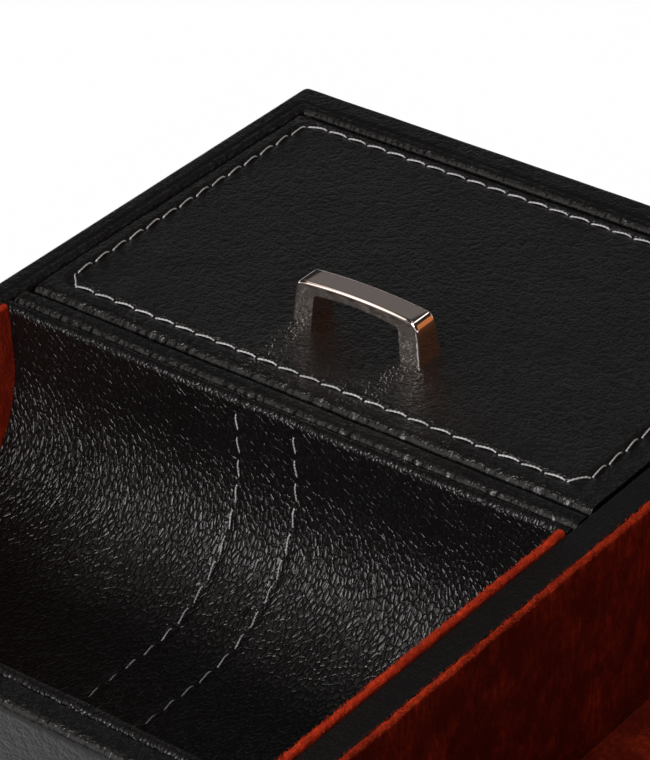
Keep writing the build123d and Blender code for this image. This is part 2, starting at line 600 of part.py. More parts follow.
# Door frame, with its left edge rounded about the door pins
with BuildPart() as door_frame:
    with BuildSketch(Plane.XY.offset(DOOR_BOTTOM)):
        with BuildLine():
            Line((DOOR_PIVOT_X, FRONT), (DOOR_RIGHT, FRONT))
            Line((DOOR_RIGHT, FRONT), (DOOR_RIGHT, DOOR_BACK))
            Line((DOOR_RIGHT, DOOR_BACK), (DOOR_PIVOT_X, DOOR_BACK))
            ThreePointArc((DOOR_PIVOT_X, DOOR_BACK), (DOOR_LEFT, DOOR_PIVOT_Y), (DOOR_PIVOT_X, FRONT))
        make_face()
    extrude(amount=DOOR_TOP - DOOR_BOTTOM)
    door_mid_x, door_width = span(DOOR_LEFT, DOOR_RIGHT)
    door_height = DOOR_TOP - DOOR_BOTTOM
    with BuildSketch(facing(FRONT, door_mid_x, CHAMBER_MIDDLE)):
        RectangleRounded(door_width - 2 * DOOR_BAR, door_height - 2 * DOOR_BAR, CORNER_ROUND)
    extrude(amount=-DOOR_THICKNESS, mode=Mode.SUBTRACT)
    with BuildSketch(facing(GLASS_FRONT, door_mid_x, CHAMBER_MIDDLE)):
        Rectangle(
            door_width - 2 * DOOR_BAR + 2 * GLASS_REBATE, door_height - 2 * DOOR_BAR + 2 * GLASS_REBATE
        )
    extrude(amount=-(DOOR_THICKNESS - GLASS_FRONT_LIP), mode=Mode.SUBTRACT)
    for level, way in ((DOOR_BOTTOM, 1), (DOOR_TOP, -1)):
        with BuildSketch(Plane.XY.offset(level)):
            with Locations((DOOR_PIVOT_X, DOOR_PIVOT_Y)):
                Circle(DOOR_PIN_RADIUS + RUNNING)
        extrude(amount=way * DOOR_PIN_DEPTH, mode=Mode.SUBTRACT)
    with BuildSketch(DOOR_HANDLE_SEAT):
        with GridLocations(HANDLE_SCREW_SPACING, 0, 2, 1):
            Circle(HANDLE_SCREW_RADIUS + SEATED)
    extrude(amount=-DOOR_THICKNESS, mode=Mode.SUBTRACT)
    with BuildSketch(DOOR_HANDLE_SEAT.offset(-DOOR_THICKNESS)):
        with GridLocations(HANDLE_SCREW_SPACING, 0, 2, 1):
            Circle(SCREW_HEAD_RADIUS + SEATED)
    extrude(amount=SCREW_HEAD_DEPTH, mode=Mode.SUBTRACT)
    magnet_x = HALF_INSIDE - CATCH_REACH / 2
    with BuildSketch(facing(DOOR_BACK, magnet_x, CATCH_Z)):
        Circle(MAGNET_RADIUS + SEATED)
    extrude(amount=MAGNET_DEPTH, mode=Mode.SUBTRACT)
keep(door_frame, "door_frame")

with BuildPart() as door_glass:
    with BuildSketch(facing(GLASS_FRONT, door_mid_x, CHAMBER_MIDDLE)):
        Rectangle(
            door_width - 2 * DOOR_BAR + 2 * GLASS_REBATE - 2 * COVER_FIT,
            door_height - 2 * DOOR_BAR + 2 * GLASS_REBATE - 2 * COVER_FIT,
        )
    extrude(amount=-GLASS_THICKNESS)
keep(door_glass, "door_glass")

# Slip that holds the glass in its rebate from behind
with BuildPart() as glass_slip:
    with BuildSketch(facing(GLASS_FRONT + GLASS_THICKNESS, door_mid_x, CHAMBER_MIDDLE)):
        Rectangle(
            door_width - 2 * DOOR_BAR + 2 * GLASS_REBATE,
            door_height - 2 * DOOR_BAR + 2 * GLASS_REBATE,
        )
        Rectangle(door_width - 2 * DOOR_BAR, door_height - 2 * DOOR_BAR, mode=Mode.SUBTRACT)
    extrude(amount=-(DOOR_THICKNESS - GLASS_FRONT_LIP - GLASS_THICKNESS))
keep(glass_slip, "glass_slip")

with BuildPart() as door_magnet:
    with BuildSketch(facing(DOOR_BACK, magnet_x, CATCH_Z)):
        Circle(MAGNET_RADIUS)
    extrude(amount=MAGNET_DEPTH)
keep(door_magnet, "door_magnet")

# Steel keeper on the right wall, which the door's magnet holds
with BuildPart() as catch_block:
    block(
        (HALF_INSIDE - CATCH_REACH, HALF_INSIDE),
        (DOOR_BACK + CATCH_GAP, DOOR_BACK + CATCH_GAP + CATCH_DEPTH),
        (CATCH_Z - CATCH_HEIGHT / 2, CATCH_Z + CATCH_HEIGHT / 2),
    )
    fillet(catch_block.edges().filter_by(Axis.Y).group_by(Axis.X)[0], CATCH_ROUND)
keep(catch_block, "catch_block")

# Door pins, seated in the base board and in the deck board
with BuildPart() as door_pins:
    reach = DOOR_GAP + DOOR_PIN_DEPTH - END_FLOAT
    for level, way in ((CHAMBER_FLOOR, 1), (CHAMBER_TOP, -1)):
        with BuildSketch(Plane.XY.offset(level - way * DOOR_PIN_DEPTH)):
            with Locations((DOOR_PIVOT_X, DOOR_PIVOT_Y)):
                Circle(DOOR_PIN_RADIUS)
        extrude(amount=way * (DOOR_PIN_DEPTH + reach))
keep(door_pins, "door_pins")

# Fascia that the cups stand in
with BuildPart() as fascia_panel:
    with BuildSketch(facing(FASCIA_FRONT, 0, CHAMBER_MIDDLE)):
        Rectangle(2 * HALF_INSIDE, CHAMBER_HEIGHT)
        with GridLocations(2 * ROTOR_X, 0, 2, 1):
            Circle(CUP_RADIUS + FASCIA_GAP, mode=Mode.SUBTRACT)
    extrude(amount=-FASCIA_THICKNESS)
keep(fascia_panel, "fascia_panel")

with BuildPart() as trim_rings:
    for sign in SIDES.values():
        ring_plane, ring_axis = turned_about(sign * ROTOR_X, CHAMBER_MIDDLE)
        with BuildSketch(ring_plane) as ring_section:
            inner = CUP_RADIUS + FASCIA_GAP
            with Locations((inner + TRIM_WIDTH / 2, FASCIA_FRONT - TRIM_THICKNESS / 2)):
                Rectangle(TRIM_WIDTH, TRIM_THICKNESS)
            chamfer(ring_section.vertices().group_by(Axis.Y)[0], TRIM_CHAMFER)
        revolve(axis=ring_axis)
keep(trim_rings, "trim_rings")

# Board that carries the axles and the motors
with BuildPart() as motor_board:
    with BuildSketch(facing(MOTOR_BOARD_FRONT, 0, CHAMBER_MIDDLE)):
        Rectangle(2 * HALF_INSIDE, CHAMBER_HEIGHT)
        with GridLocations(2 * ROTOR_X, 0, 2, 1):
            Circle(AXLE_RADIUS + SEATED, mode=Mode.SUBTRACT)
        with GridLocations(2 * MOTOR_X, 0, 2, 1):
            Circle(MOTOR_BOSS_RADIUS + RUNNING, mode=Mode.SUBTRACT)
        with GridLocations(2 * MOTOR_X, 2 * MOTOR_EAR, 2, 2):
            Circle(MOTOR_SCREW_RADIUS + SEATED, mode=Mode.SUBTRACT)
    extrude(amount=-MOTOR_BOARD)
keep(motor_board, "motor_board")


def involute(base_radius, radius):
    """Polar angle of the involute of a base circle at a radius."""
    roll = sqrt((radius / base_radius) ** 2 - 1)
    return roll - atan(roll)


def polar(radius, angle):
    return radius * cos(angle), radius * sin(angle)


def gear_outline(teeth):
    """Spur gear section with involute flanks, one tooth pointing along the sketch's X."""
    pitch_radius = MODULE * teeth / 2
    base_radius = pitch_radius * cos(radians(PRESSURE_ANGLE))
    root_radius = pitch_radius - DEDENDUM * MODULE
    tip_radius = pitch_radius + MODULE
    foot_radius = max(base_radius, root_radius)
    half_tooth = pi / (2 * teeth) - BACKLASH / (4 * pitch_radius) + involute(base_radius, pitch_radius)

    def flank(radius, side):
        return polar(radius, side * (half_tooth - involute(base_radius, radius)))

    middle_radius = (foot_radius + tip_radius) / 2
    root_angle = half_tooth - involute(base_radius, foot_radius)
    with BuildSketch(mode=Mode.PRIVATE) as tooth:
        with BuildLine():
            Line(polar(root_radius - BACKLASH, -root_angle), flank(foot_radius, -1))
            ThreePointArc(flank(foot_radius, -1), flank(middle_radius, -1), flank(tip_radius, -1))
            Line(flank(tip_radius, -1), flank(tip_radius, 1))
            ThreePointArc(flank(tip_radius, 1), flank(middle_radius, 1), flank(foot_radius, 1))
            Line(flank(foot_radius, 1), polar(root_radius - BACKLASH, root_angle))
            Line(polar(root_radius - BACKLASH, root_angle), polar(root_radius - BACKLASH, -root_angle))
        make_face()
    Circle(root_radius)
    return tooth.sketch


for side, sign in SIDES.items():
    rotor_x = sign * ROTOR_X
    motor_x = sign * MOTOR_X
    rotor_plane, rotor_axis = turned_about(rotor_x, CHAMBER_MIDDLE)

    # Cup, turned in one piece with its hub
    with BuildPart() as rotor_cup:
        with BuildSketch(rotor_plane) as cup_section:
            with BuildLine():
                Polyline(
                    (AXLE_RADIUS + RUNNING, HUB_END),
                    (HUB_RADIUS, HUB_END),
                    (HUB_RADIUS, CUP_FLOOR_BACK),
                    (CUP_RADIUS, CUP_FLOOR_BACK),
                    (CUP_RADIUS, CUP_FRONT),
                    (CUP_INSIDE, CUP_FRONT),
                    (CUP_INSIDE, CUP_FLOOR_FRONT),
                    (HUB_RECESS_RADIUS, CUP_FLOOR_FRONT),
                    (HUB_RECESS_RADIUS, BORE_START),
                    (AXLE_RADIUS + RUNNING, BORE_START),
                    close=True,
                )
            make_face()
            mouth = cup_section.vertices().group_by(Axis.Y)[0]
            fillet(mouth, CUP_MOUTH_ROUND)
            back_rim = cup_section.vertices().filter_by(
                lambda v: abs(v.Y - CUP_FLOOR_BACK) < SEATED and v.X > CUP_INSIDE
            )
            fillet(back_rim, CORNER_ROUND)
        revolve(axis=rotor_axis)
    keep(rotor_cup, f"rotor_cup_{side}")

    # Suede lining of the cup's wall and floor
    with BuildPart() as cup_lining:
        with BuildSketch(rotor_plane):
            with BuildLine():
                Polyline(
                    (0, CUP_FLOOR_FRONT),
                    (CUP_INSIDE, CUP_FLOOR_FRONT),
                    (CUP_INSIDE, CUP_FRONT + CUP_WALL),
                    (CUP_INSIDE - LINING, CUP_FRONT + CUP_WALL),
                    (CUP_INSIDE - LINING, CUP_FLOOR_FRONT - LINING),
                    (0, CUP_FLOOR_FRONT - LINING),
                    close=True,
                )
            make_face()
        revolve(axis=rotor_axis)
    keep(cup_lining, f"cup_lining_{side}")

    # Two padded cheeks that grip the watch cushion by its ends
    with BuildPart() as cushion_cheeks:
        with BuildSketch(facing(CHEEK_FRONT, rotor_x, CHAMBER_MIDDLE)):
            Circle(CUP_INSIDE - LINING)
            Rectangle(2 * CHEEK_INSIDE, 2 * CUP_INSIDE, mode=Mode.SUBTRACT)
        extrude(amount=CHEEK_FRONT - CHEEK_BACK)
    keep(cushion_cheeks, f"cushion_cheeks_{side}")

    # Driven gear on the hub
    with BuildPart() as rotor_gear:
        with BuildSketch(facing(GEAR_BACK, rotor_x, CHAMBER_MIDDLE)):
            tooth = gear_outline(GEAR_TEETH)
            with PolarLocations(0, GEAR_TEETH, start_angle=180 / GEAR_TEETH):
                add(tooth)
            Circle(HUB_RADIUS + SEATED, mode=Mode.SUBTRACT)
            hole_circle = (HUB_RADIUS + MODULE * (GEAR_TEETH / 2 - DEDENDUM)) / 2
            with PolarLocations(hole_circle, GEAR_HOLES):
                Circle(GEAR_HOLE_RADIUS, mode=Mode.SUBTRACT)
        extrude(amount=GEAR_WIDTH)
    keep(rotor_gear, f"rotor_gear_{side}")

    # Pinion on the motor's shaft, in mesh with the driven gear
    with BuildPart() as motor_pinion:
        with BuildSketch(facing(GEAR_BACK, motor_x, CHAMBER_MIDDLE)):
            tooth = gear_outline(PINION_TEETH)
            with PolarLocations(0, PINION_TEETH):
                add(tooth)
        extrude(amount=GEAR_WIDTH)
        with BuildSketch(facing(GEAR_BACK, motor_x, CHAMBER_MIDDLE)):
            Circle(MOTOR_SHAFT_RADIUS)
        extrude(amount=-(MOTOR_BOARD_FRONT - GEAR_BACK + SHAFT_DEPTH - END_FLOAT))
    keep(motor_pinion, f"motor_pinion_{side}")

    # Fixed axle with a collar, a clip groove and a spigot in the board
    with BuildPart() as rotor_axle:
        with BuildSketch(rotor_plane):
            clip_back = BORE_START - END_FLOAT
            clip_front = clip_back - CLIP_THICKNESS
            with BuildLine():
                Polyline(
                    (0, clip_front - CLIP_THICKNESS),
                    (AXLE_RADIUS, clip_front - CLIP_THICKNESS),
                    (AXLE_RADIUS, clip_front),
                    (AXLE_NECK, clip_front),
                    (AXLE_NECK, clip_back),
                    (AXLE_RADIUS, clip_back),
                    (AXLE_RADIUS, MOTOR_BOARD_FRONT - AXLE_COLLAR),
                    (AXLE_COLLAR_RADIUS, MOTOR_BOARD_FRONT - AXLE_COLLAR),
                    (AXLE_COLLAR_RADIUS, MOTOR_BOARD_FRONT),
                    (AXLE_RADIUS, MOTOR_BOARD_FRONT),
                    (AXLE_RADIUS, MOTOR_BOARD_BACK),
                    (0, MOTOR_BOARD_BACK),
                    close=True,
                )
            make_face()
        revolve(axis=rotor_axis)
    keep(rotor_axle, f"rotor_axle_{side}")

    # Gear motor with two screw ears and a bearing boss
    with BuildPart() as motor:
        with BuildSketch(facing_back(MOTOR_BOARD_BACK, motor_x, CHAMBER_MIDDLE)):
            Circle(MOTOR_RADIUS)
        extrude(amount=MOTOR_LENGTH)
        fillet(motor.faces().sort_by(Axis.Y)[-1].edges(), CORNER_ROUND)
        with BuildSketch(facing_back(MOTOR_BOARD_BACK, motor_x, CHAMBER_MIDDLE)):
            SlotCenterToCenter(2 * MOTOR_EAR, 2 * MOTOR_EAR_RADIUS, rotation=90)
        extrude(amount=MOTOR_EAR_THICKNESS)
        with BuildSketch(facing_back(MOTOR_BOARD_BACK, motor_x, CHAMBER_MIDDLE)):
            with GridLocations(0, 2 * MOTOR_EAR, 1, 2):
                Circle(MOTOR_SCREW_RADIUS + SEATED)
        extrude(amount=MOTOR_EAR_THICKNESS, mode=Mode.SUBTRACT)
        with BuildSketch(facing(MOTOR_BOARD_BACK, motor_x, CHAMBER_MIDDLE)):
            Circle(MOTOR_BOSS_RADIUS)
        extrude(amount=MOTOR_BOARD)
        with BuildSketch(facing(MOTOR_BOARD_FRONT, motor_x, CHAMBER_MIDDLE)):
            Circle(MOTOR_SHAFT_RADIUS + RUNNING)
        extrude(amount=-SHAFT_DEPTH, mode=Mode.SUBTRACT)
    keep(motor, f"motor_{side}")

    # Watch cushion, fullest in the middle and drawn in at its ends
    with BuildPart() as watch_cushion:
        half = CUSHION_LENGTH / 2
        stations = ((-half, 2 * CUSHION_DRAW), (CUSHION_DRAW - half, CUSHION_DRAW / 2), (0, 0))
        for offset, draw in stations + tuple((-place, draw) for place, draw in stations[1::-1]):
            section = Plane(
                origin=(rotor_x + offset, CUSHION_Y, CHAMBER_MIDDLE), x_dir=(0, 1, 0), z_dir=(1, 0, 0)
            )
            with BuildSketch(section):
                RectangleRounded(CUSHION_DEPTH - draw, CUSHION_HEIGHT - draw, CUSHION_CORNER)
        loft()
    keep(watch_cushion, f"watch_cushion_{side}")

# Clips that keep the cups on their axles
with BuildPart() as axle_clips:
    with BuildSketch(facing(BORE_START - END_FLOAT, 0, CHAMBER_MIDDLE)):
        with GridLocations(2 * ROTOR_X, 0, 2, 1):
            Circle(CLIP_RADIUS)
            Circle(AXLE_NECK + SEATED, mode=Mode.SUBTRACT)
    extrude(amount=CLIP_THICKNESS)
keep(axle_clips, "axle_clips")

# Screws of the motors
with BuildPart() as motor_screws:
    with BuildSketch(facing(MOTOR_BOARD_FRONT, 0, CHAMBER_MIDDLE)):
        with GridLocations(2 * MOTOR_X, 2 * MOTOR_EAR, 2, 2):
            Circle(MOTOR_SCREW_RADIUS)
    extrude(amount=-(MOTOR_BOARD + MOTOR_EAR_THICKNESS))
    with BuildSketch(facing_back(MOTOR_BOARD_BACK + MOTOR_EAR_THICKNESS, 0, CHAMBER_MIDDLE)):
        with GridLocations(2 * MOTOR_X, 2 * MOTOR_EAR, 2, 2):
            Circle(2 * MOTOR_SCREW_RADIUS)
    extrude(amount=MOTOR_SCREW_RADIUS)
keep(motor_screws, "motor_screws")

# Moulded rear cover with vents, openings for the controls and board posts
with BuildPart() as rear_cover:
    with BuildSketch(facing_back(COVER_FRONT, 0, CHAMBER_MIDDLE)):
        Rectangle(COVER_WIDTH - 2 * COVER_FIT, COVER_HEIGHT - 2 * COVER_FIT)
        with GridLocations(COVER_WIDTH - 2 * COVER_SCREW_INSET, COVER_HEIGHT - 2 * COVER_SCREW_INSET, 2, 2):
            Circle(COVER_SCREW_RADIUS + RUNNING, mode=Mode.SUBTRACT)
        with GridLocations(KNOB_SPACING, 0, 2, 1):
            Circle(KNOB_SHAFT_RADIUS + RUNNING, mode=Mode.SUBTRACT)
        with Locations((0, SWITCH_Z - CHAMBER_MIDDLE)):
            Rectangle(SWITCH_WIDTH, SWITCH_LENGTH, mode=Mode.SUBTRACT)
        with Locations((0, INLET_Z - CHAMBER_MIDDLE)):
            Circle(INLET_BARREL_RADIUS + RUNNING, mode=Mode.SUBTRACT)
        with Locations((0, VENT_Z - CHAMBER_MIDDLE)):
            with GridLocations(VENT_PITCH, 0, VENT_COUNT, 1):
                SlotOverall(VENT_LENGTH, VENT_WIDTH, rotation=90, mode=Mode.SUBTRACT)
    extrude(amount=COVER_THICKNESS)
    with BuildSketch(facing(COVER_FRONT, 0, CHAMBER_MIDDLE)):
        with GridLocations(2 * POST_X, 2 * POST_Z, 2, 2):
            Circle(POST_RADIUS)
    extrude(amount=POST_LENGTH)
keep(rear_cover, "rear_cover")

with BuildPart() as rear_cover_screws:
    with BuildSketch(facing_back(TRAY_BACK, 0, CHAMBER_MIDDLE)):
        with GridLocations(COVER_WIDTH - 2 * COVER_SCREW_INSET, COVER_HEIGHT - 2 * COVER_SCREW_INSET, 2, 2):
            Circle(COVER_SCREW_RADIUS)
    extrude(amount=BACK_WALL)
    with BuildSketch(facing_back(BACK, 0, CHAMBER_MIDDLE)):
        with GridLocations(COVER_WIDTH - 2 * COVER_SCREW_INSET, COVER_HEIGHT - 2 * COVER_SCREW_INSET, 2, 2):
            Circle(2 * COVER_SCREW_RADIUS)
    extrude(amount=COVER_SCREW_RADIUS)
    fillet(rear_cover_screws.faces().group_by(Axis.Y)[-1].edges(), COVER_SCREW_ROUND)
keep(rear_cover_screws, "rear_cover_screws")

# Control board with the two program selectors on it
with BuildPart() as control_board:
    with BuildSketch(facing_back(BOARD_FRONT, 0, CHAMBER_MIDDLE)):
        Rectangle(BOARD_WIDTH, BOARD_HEIGHT)
    extrude(amount=BOARD_THICKNESS)
    with BuildSketch(facing_back(BOARD_BACK, 0, CHAMBER_MIDDLE)):
        with GridLocations(KNOB_SPACING, 0, 2, 1):
            Circle(POT_RADIUS)
            Circle(KNOB_SHAFT_RADIUS + RUNNING, mode=Mode.SUBTRACT)
    extrude(amount=POT_DEPTH)
keep(control_board, "control_board")

# Fluted program knobs, each with its shaft
for side, sign in SIDES.items():
    with BuildPart() as program_knob:
        with BuildSketch(facing_back(BACK + KNOB_GAP, sign * KNOB_SPACING / 2, CHAMBER_MIDDLE)):
            Circle(KNOB_RADIUS)
            with PolarLocations(KNOB_RADIUS, KNOB_FLUTES):
                Circle(KNOB_FLUTE_RADIUS, mode=Mode.SUBTRACT)
        extrude(amount=KNOB_HEIGHT - KNOB_GAP)
        with BuildSketch(facing_back(BOARD_BACK + END_FLOAT, sign * KNOB_SPACING / 2, CHAMBER_MIDDLE)):
            Circle(KNOB_SHAFT_RADIUS)
        extrude(amount=BACK + KNOB_GAP - BOARD_BACK - END_FLOAT)
        with BuildSketch(facing_back(BACK + KNOB_HEIGHT, sign * KNOB_SPACING / 2, CHAMBER_MIDDLE)):
            with Locations((0, KNOB_RADIUS / 2)):
                Rectangle(KNOB_MARK_WIDTH, KNOB_MARK_LENGTH)
        extrude(amount=-KNOB_MARK_DEPTH, mode=Mode.SUBTRACT)
    keep(program_knob, f"program_knob_{side}")

# Switch body behind the cover, and its tilting rocker on two trunnions
switch_half_x = SWITCH_WIDTH / 2 + SWITCH_WALL
with BuildPart() as switch_body:
    with BuildSketch(facing(COVER_FRONT, 0, SWITCH_Z)):
        Rectangle(2 * switch_half_x, SWITCH_LENGTH + 2 * SWITCH_WALL)
    extrude(amount=SWITCH_DEPTH)
    with BuildSketch(facing(COVER_FRONT, 0, SWITCH_Z)):
        Rectangle(SWITCH_WIDTH, SWITCH_LENGTH)
    extrude(amount=SWITCH_DEPTH - SWITCH_WALL, mode=Mode.SUBTRACT)
    with BuildSketch(Plane.YZ.offset(-switch_half_x)):
        with Locations((ROCKER_PIVOT_Y, SWITCH_Z)):
            Circle(ROCKER_PIN_RADIUS + RUNNING)
    extrude(amount=2 * switch_half_x, mode=Mode.SUBTRACT)
keep(switch_body, "switch_body")

rocker_half = SWITCH_LENGTH / 2 - ROCKER_END_GAP
with BuildPart() as power_rocker:
    rocker_plane = Plane(
        origin=(-SWITCH_WIDTH / 2 + COVER_FIT, ROCKER_PIVOT_Y, SWITCH_Z),
        x_dir=(0, cos(radians(ROCKER_TILT)), -sin(radians(ROCKER_TILT))),
        z_dir=(1, 0, 0),
    )
    with BuildSketch(rocker_plane):
        with BuildLine():
            Polyline(
                (-ROCKER_KEEL, -rocker_half / 2),
                (ROCKER_WAIST, -rocker_half),
                (ROCKER_HORN, -rocker_half),
                (ROCKER_PIVOT_DEPTH, 0),
                (ROCKER_HORN, rocker_half),
                (ROCKER_WAIST, rocker_half),
                (-ROCKER_KEEL, rocker_half / 2),
                close=True,
            )
        make_face()
    extrude(amount=SWITCH_WIDTH - 2 * COVER_FIT)
    with BuildSketch(Plane.YZ.offset(-switch_half_x)):
        with Locations((ROCKER_PIVOT_Y, SWITCH_Z)):
            Circle(ROCKER_PIN_RADIUS)
    extrude(amount=2 * switch_half_x)
keep(power_rocker, "power_rocker")

# Barrel power inlet with its centre pin
with BuildPart() as dc_inlet:
    with BuildSketch(facing(COVER_FRONT, 0, INLET_Z)):
        Rectangle(INLET_BODY, INLET_BODY)
    extrude(amount=INLET_DEPTH)
    with BuildSketch(facing_back(COVER_FRONT, 0, INLET_Z)):
        Circle(INLET_BARREL_RADIUS)
    extrude(amount=COVER_THICKNESS)
    with BuildSketch(facing(BACK, 0, INLET_Z)):
        Circle(INLET_BARREL_RADIUS - INLET_BARREL_WALL)
        Circle(INLET_PIN_RADIUS, mode=Mode.SUBTRACT)
    extrude(amount=COVER_THICKNESS + INLET_DEPTH - SWITCH_WALL, mode=Mode.SUBTRACT)
keep(dc_inlet, "dc_inlet")

# Rubber feet and their screws
foot_spacing = (2 * (HALF_OUTSIDE - FOOT_INSET), CASE_DEPTH - 2 * FOOT_INSET)
with BuildPart() as feet:
    with BuildSketch(Plane.XY):
        with GridLocations(*foot_spacing, 2, 2):
            Circle(FOOT_RADIUS)
    extrude(amount=FOOT_HEIGHT)
    fillet(feet.faces().group_by(Axis.Z)[0].edges(), FOOT_ROUND)
    with BuildSketch(Plane.XY):
        with GridLocations(*foot_spacing, 2, 2):
            Circle(FOOT_SCREW_RADIUS + SEATED)
    extrude(amount=FOOT_HEIGHT, mode=Mode.SUBTRACT)
    with BuildSketch(Plane.XY):
        with GridLocations(*foot_spacing, 2, 2):
            Circle(2 * FOOT_SCREW_RADIUS + SEATED)
    extrude(amount=FOOT_HEIGHT / 2, mode=Mode.SUBTRACT)
keep(feet, "feet")

with BuildPart() as foot_screws:
    with BuildSketch(Plane.XY.offset(FOOT_HEIGHT / 2)):
        with GridLocations(*foot_spacing, 2, 2):
            Circle(FOOT_SCREW_RADIUS)
    extrude(amount=FOOT_HEIGHT / 2 + BASE_BOARD - 2 * SCREW_HEAD_DEPTH)
    with BuildSketch(Plane.XY.offset(FOOT_HEIGHT / 2)):
        with GridLocations(*foot_spacing, 2, 2):
            Circle(2 * FOOT_SCREW_RADIUS)
    extrude(amount=-SCREW_HEAD_DEPTH)
keep(foot_screws, "foot_screws")
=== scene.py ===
import math
import random

import bmesh
import bpy
from mathutils import Matrix, Vector, noise


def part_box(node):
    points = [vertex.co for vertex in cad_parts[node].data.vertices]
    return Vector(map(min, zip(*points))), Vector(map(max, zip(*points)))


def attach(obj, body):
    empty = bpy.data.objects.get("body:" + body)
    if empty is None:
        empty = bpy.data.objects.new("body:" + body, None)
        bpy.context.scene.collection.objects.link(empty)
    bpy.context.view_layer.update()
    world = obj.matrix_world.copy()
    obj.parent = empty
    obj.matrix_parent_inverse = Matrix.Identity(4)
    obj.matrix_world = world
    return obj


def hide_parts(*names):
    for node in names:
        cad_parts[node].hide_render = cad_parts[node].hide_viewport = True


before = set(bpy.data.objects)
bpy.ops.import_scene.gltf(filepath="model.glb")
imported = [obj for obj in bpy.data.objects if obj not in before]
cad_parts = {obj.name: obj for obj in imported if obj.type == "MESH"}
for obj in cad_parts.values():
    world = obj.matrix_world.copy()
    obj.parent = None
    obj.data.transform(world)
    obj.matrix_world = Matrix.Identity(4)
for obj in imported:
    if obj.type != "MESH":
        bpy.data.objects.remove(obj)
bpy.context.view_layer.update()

bl_info = {
    "name": "Watch winder dress",
    "version": (1, 0, 0),
    "blender": (4, 5, 0),
    "location": "View3D > Sidebar > Watch winder",
    "description": "Leather, suede, thread, metal and glass for the watch winder's fixed frame",
    "category": "Object",
}

MM = 0.001
TOUCHING = 1e-6
HIDE_GLOSS = 0.29
finishes = {}


# Finishes


def maths(operation, swapped=False):
    """A method of Wire that carries out one Math operation."""

    def carried_out(wire, *others):
        values = (*others, wire) if swapped else (wire, *others)
        return wire.finish.node("ShaderNodeMath", {"operation": operation}, dict(enumerate(values)))

    return carried_out


class Wire:
    """One output in a finish's node tree, which Python's operators carry on."""

    __add__ = maths("ADD")
    __radd__ = maths("ADD", swapped=True)
    __sub__ = maths("SUBTRACT")
    __rsub__ = maths("SUBTRACT", swapped=True)
    __mul__ = maths("MULTIPLY")
    __rmul__ = maths("MULTIPLY", swapped=True)
    __truediv__ = maths("DIVIDE")
    __pow__ = maths("POWER")
    __abs__ = maths("ABSOLUTE")
    most = maths("MAXIMUM")
    least = maths("MINIMUM")

    def __init__(self, finish, socket):
        self.finish = finish
        self.socket = socket

    def eased(self, start, end):
        """0 below start and 1 above end, with a smooth step between."""
        return self.finish.node(
            "ShaderNodeMapRange",
            {"interpolation_type": "SMOOTHSTEP"},
            {"Value": self, "From Min": start, "From Max": end, "To Min": 0.0, "To Max": 1.0},
        )


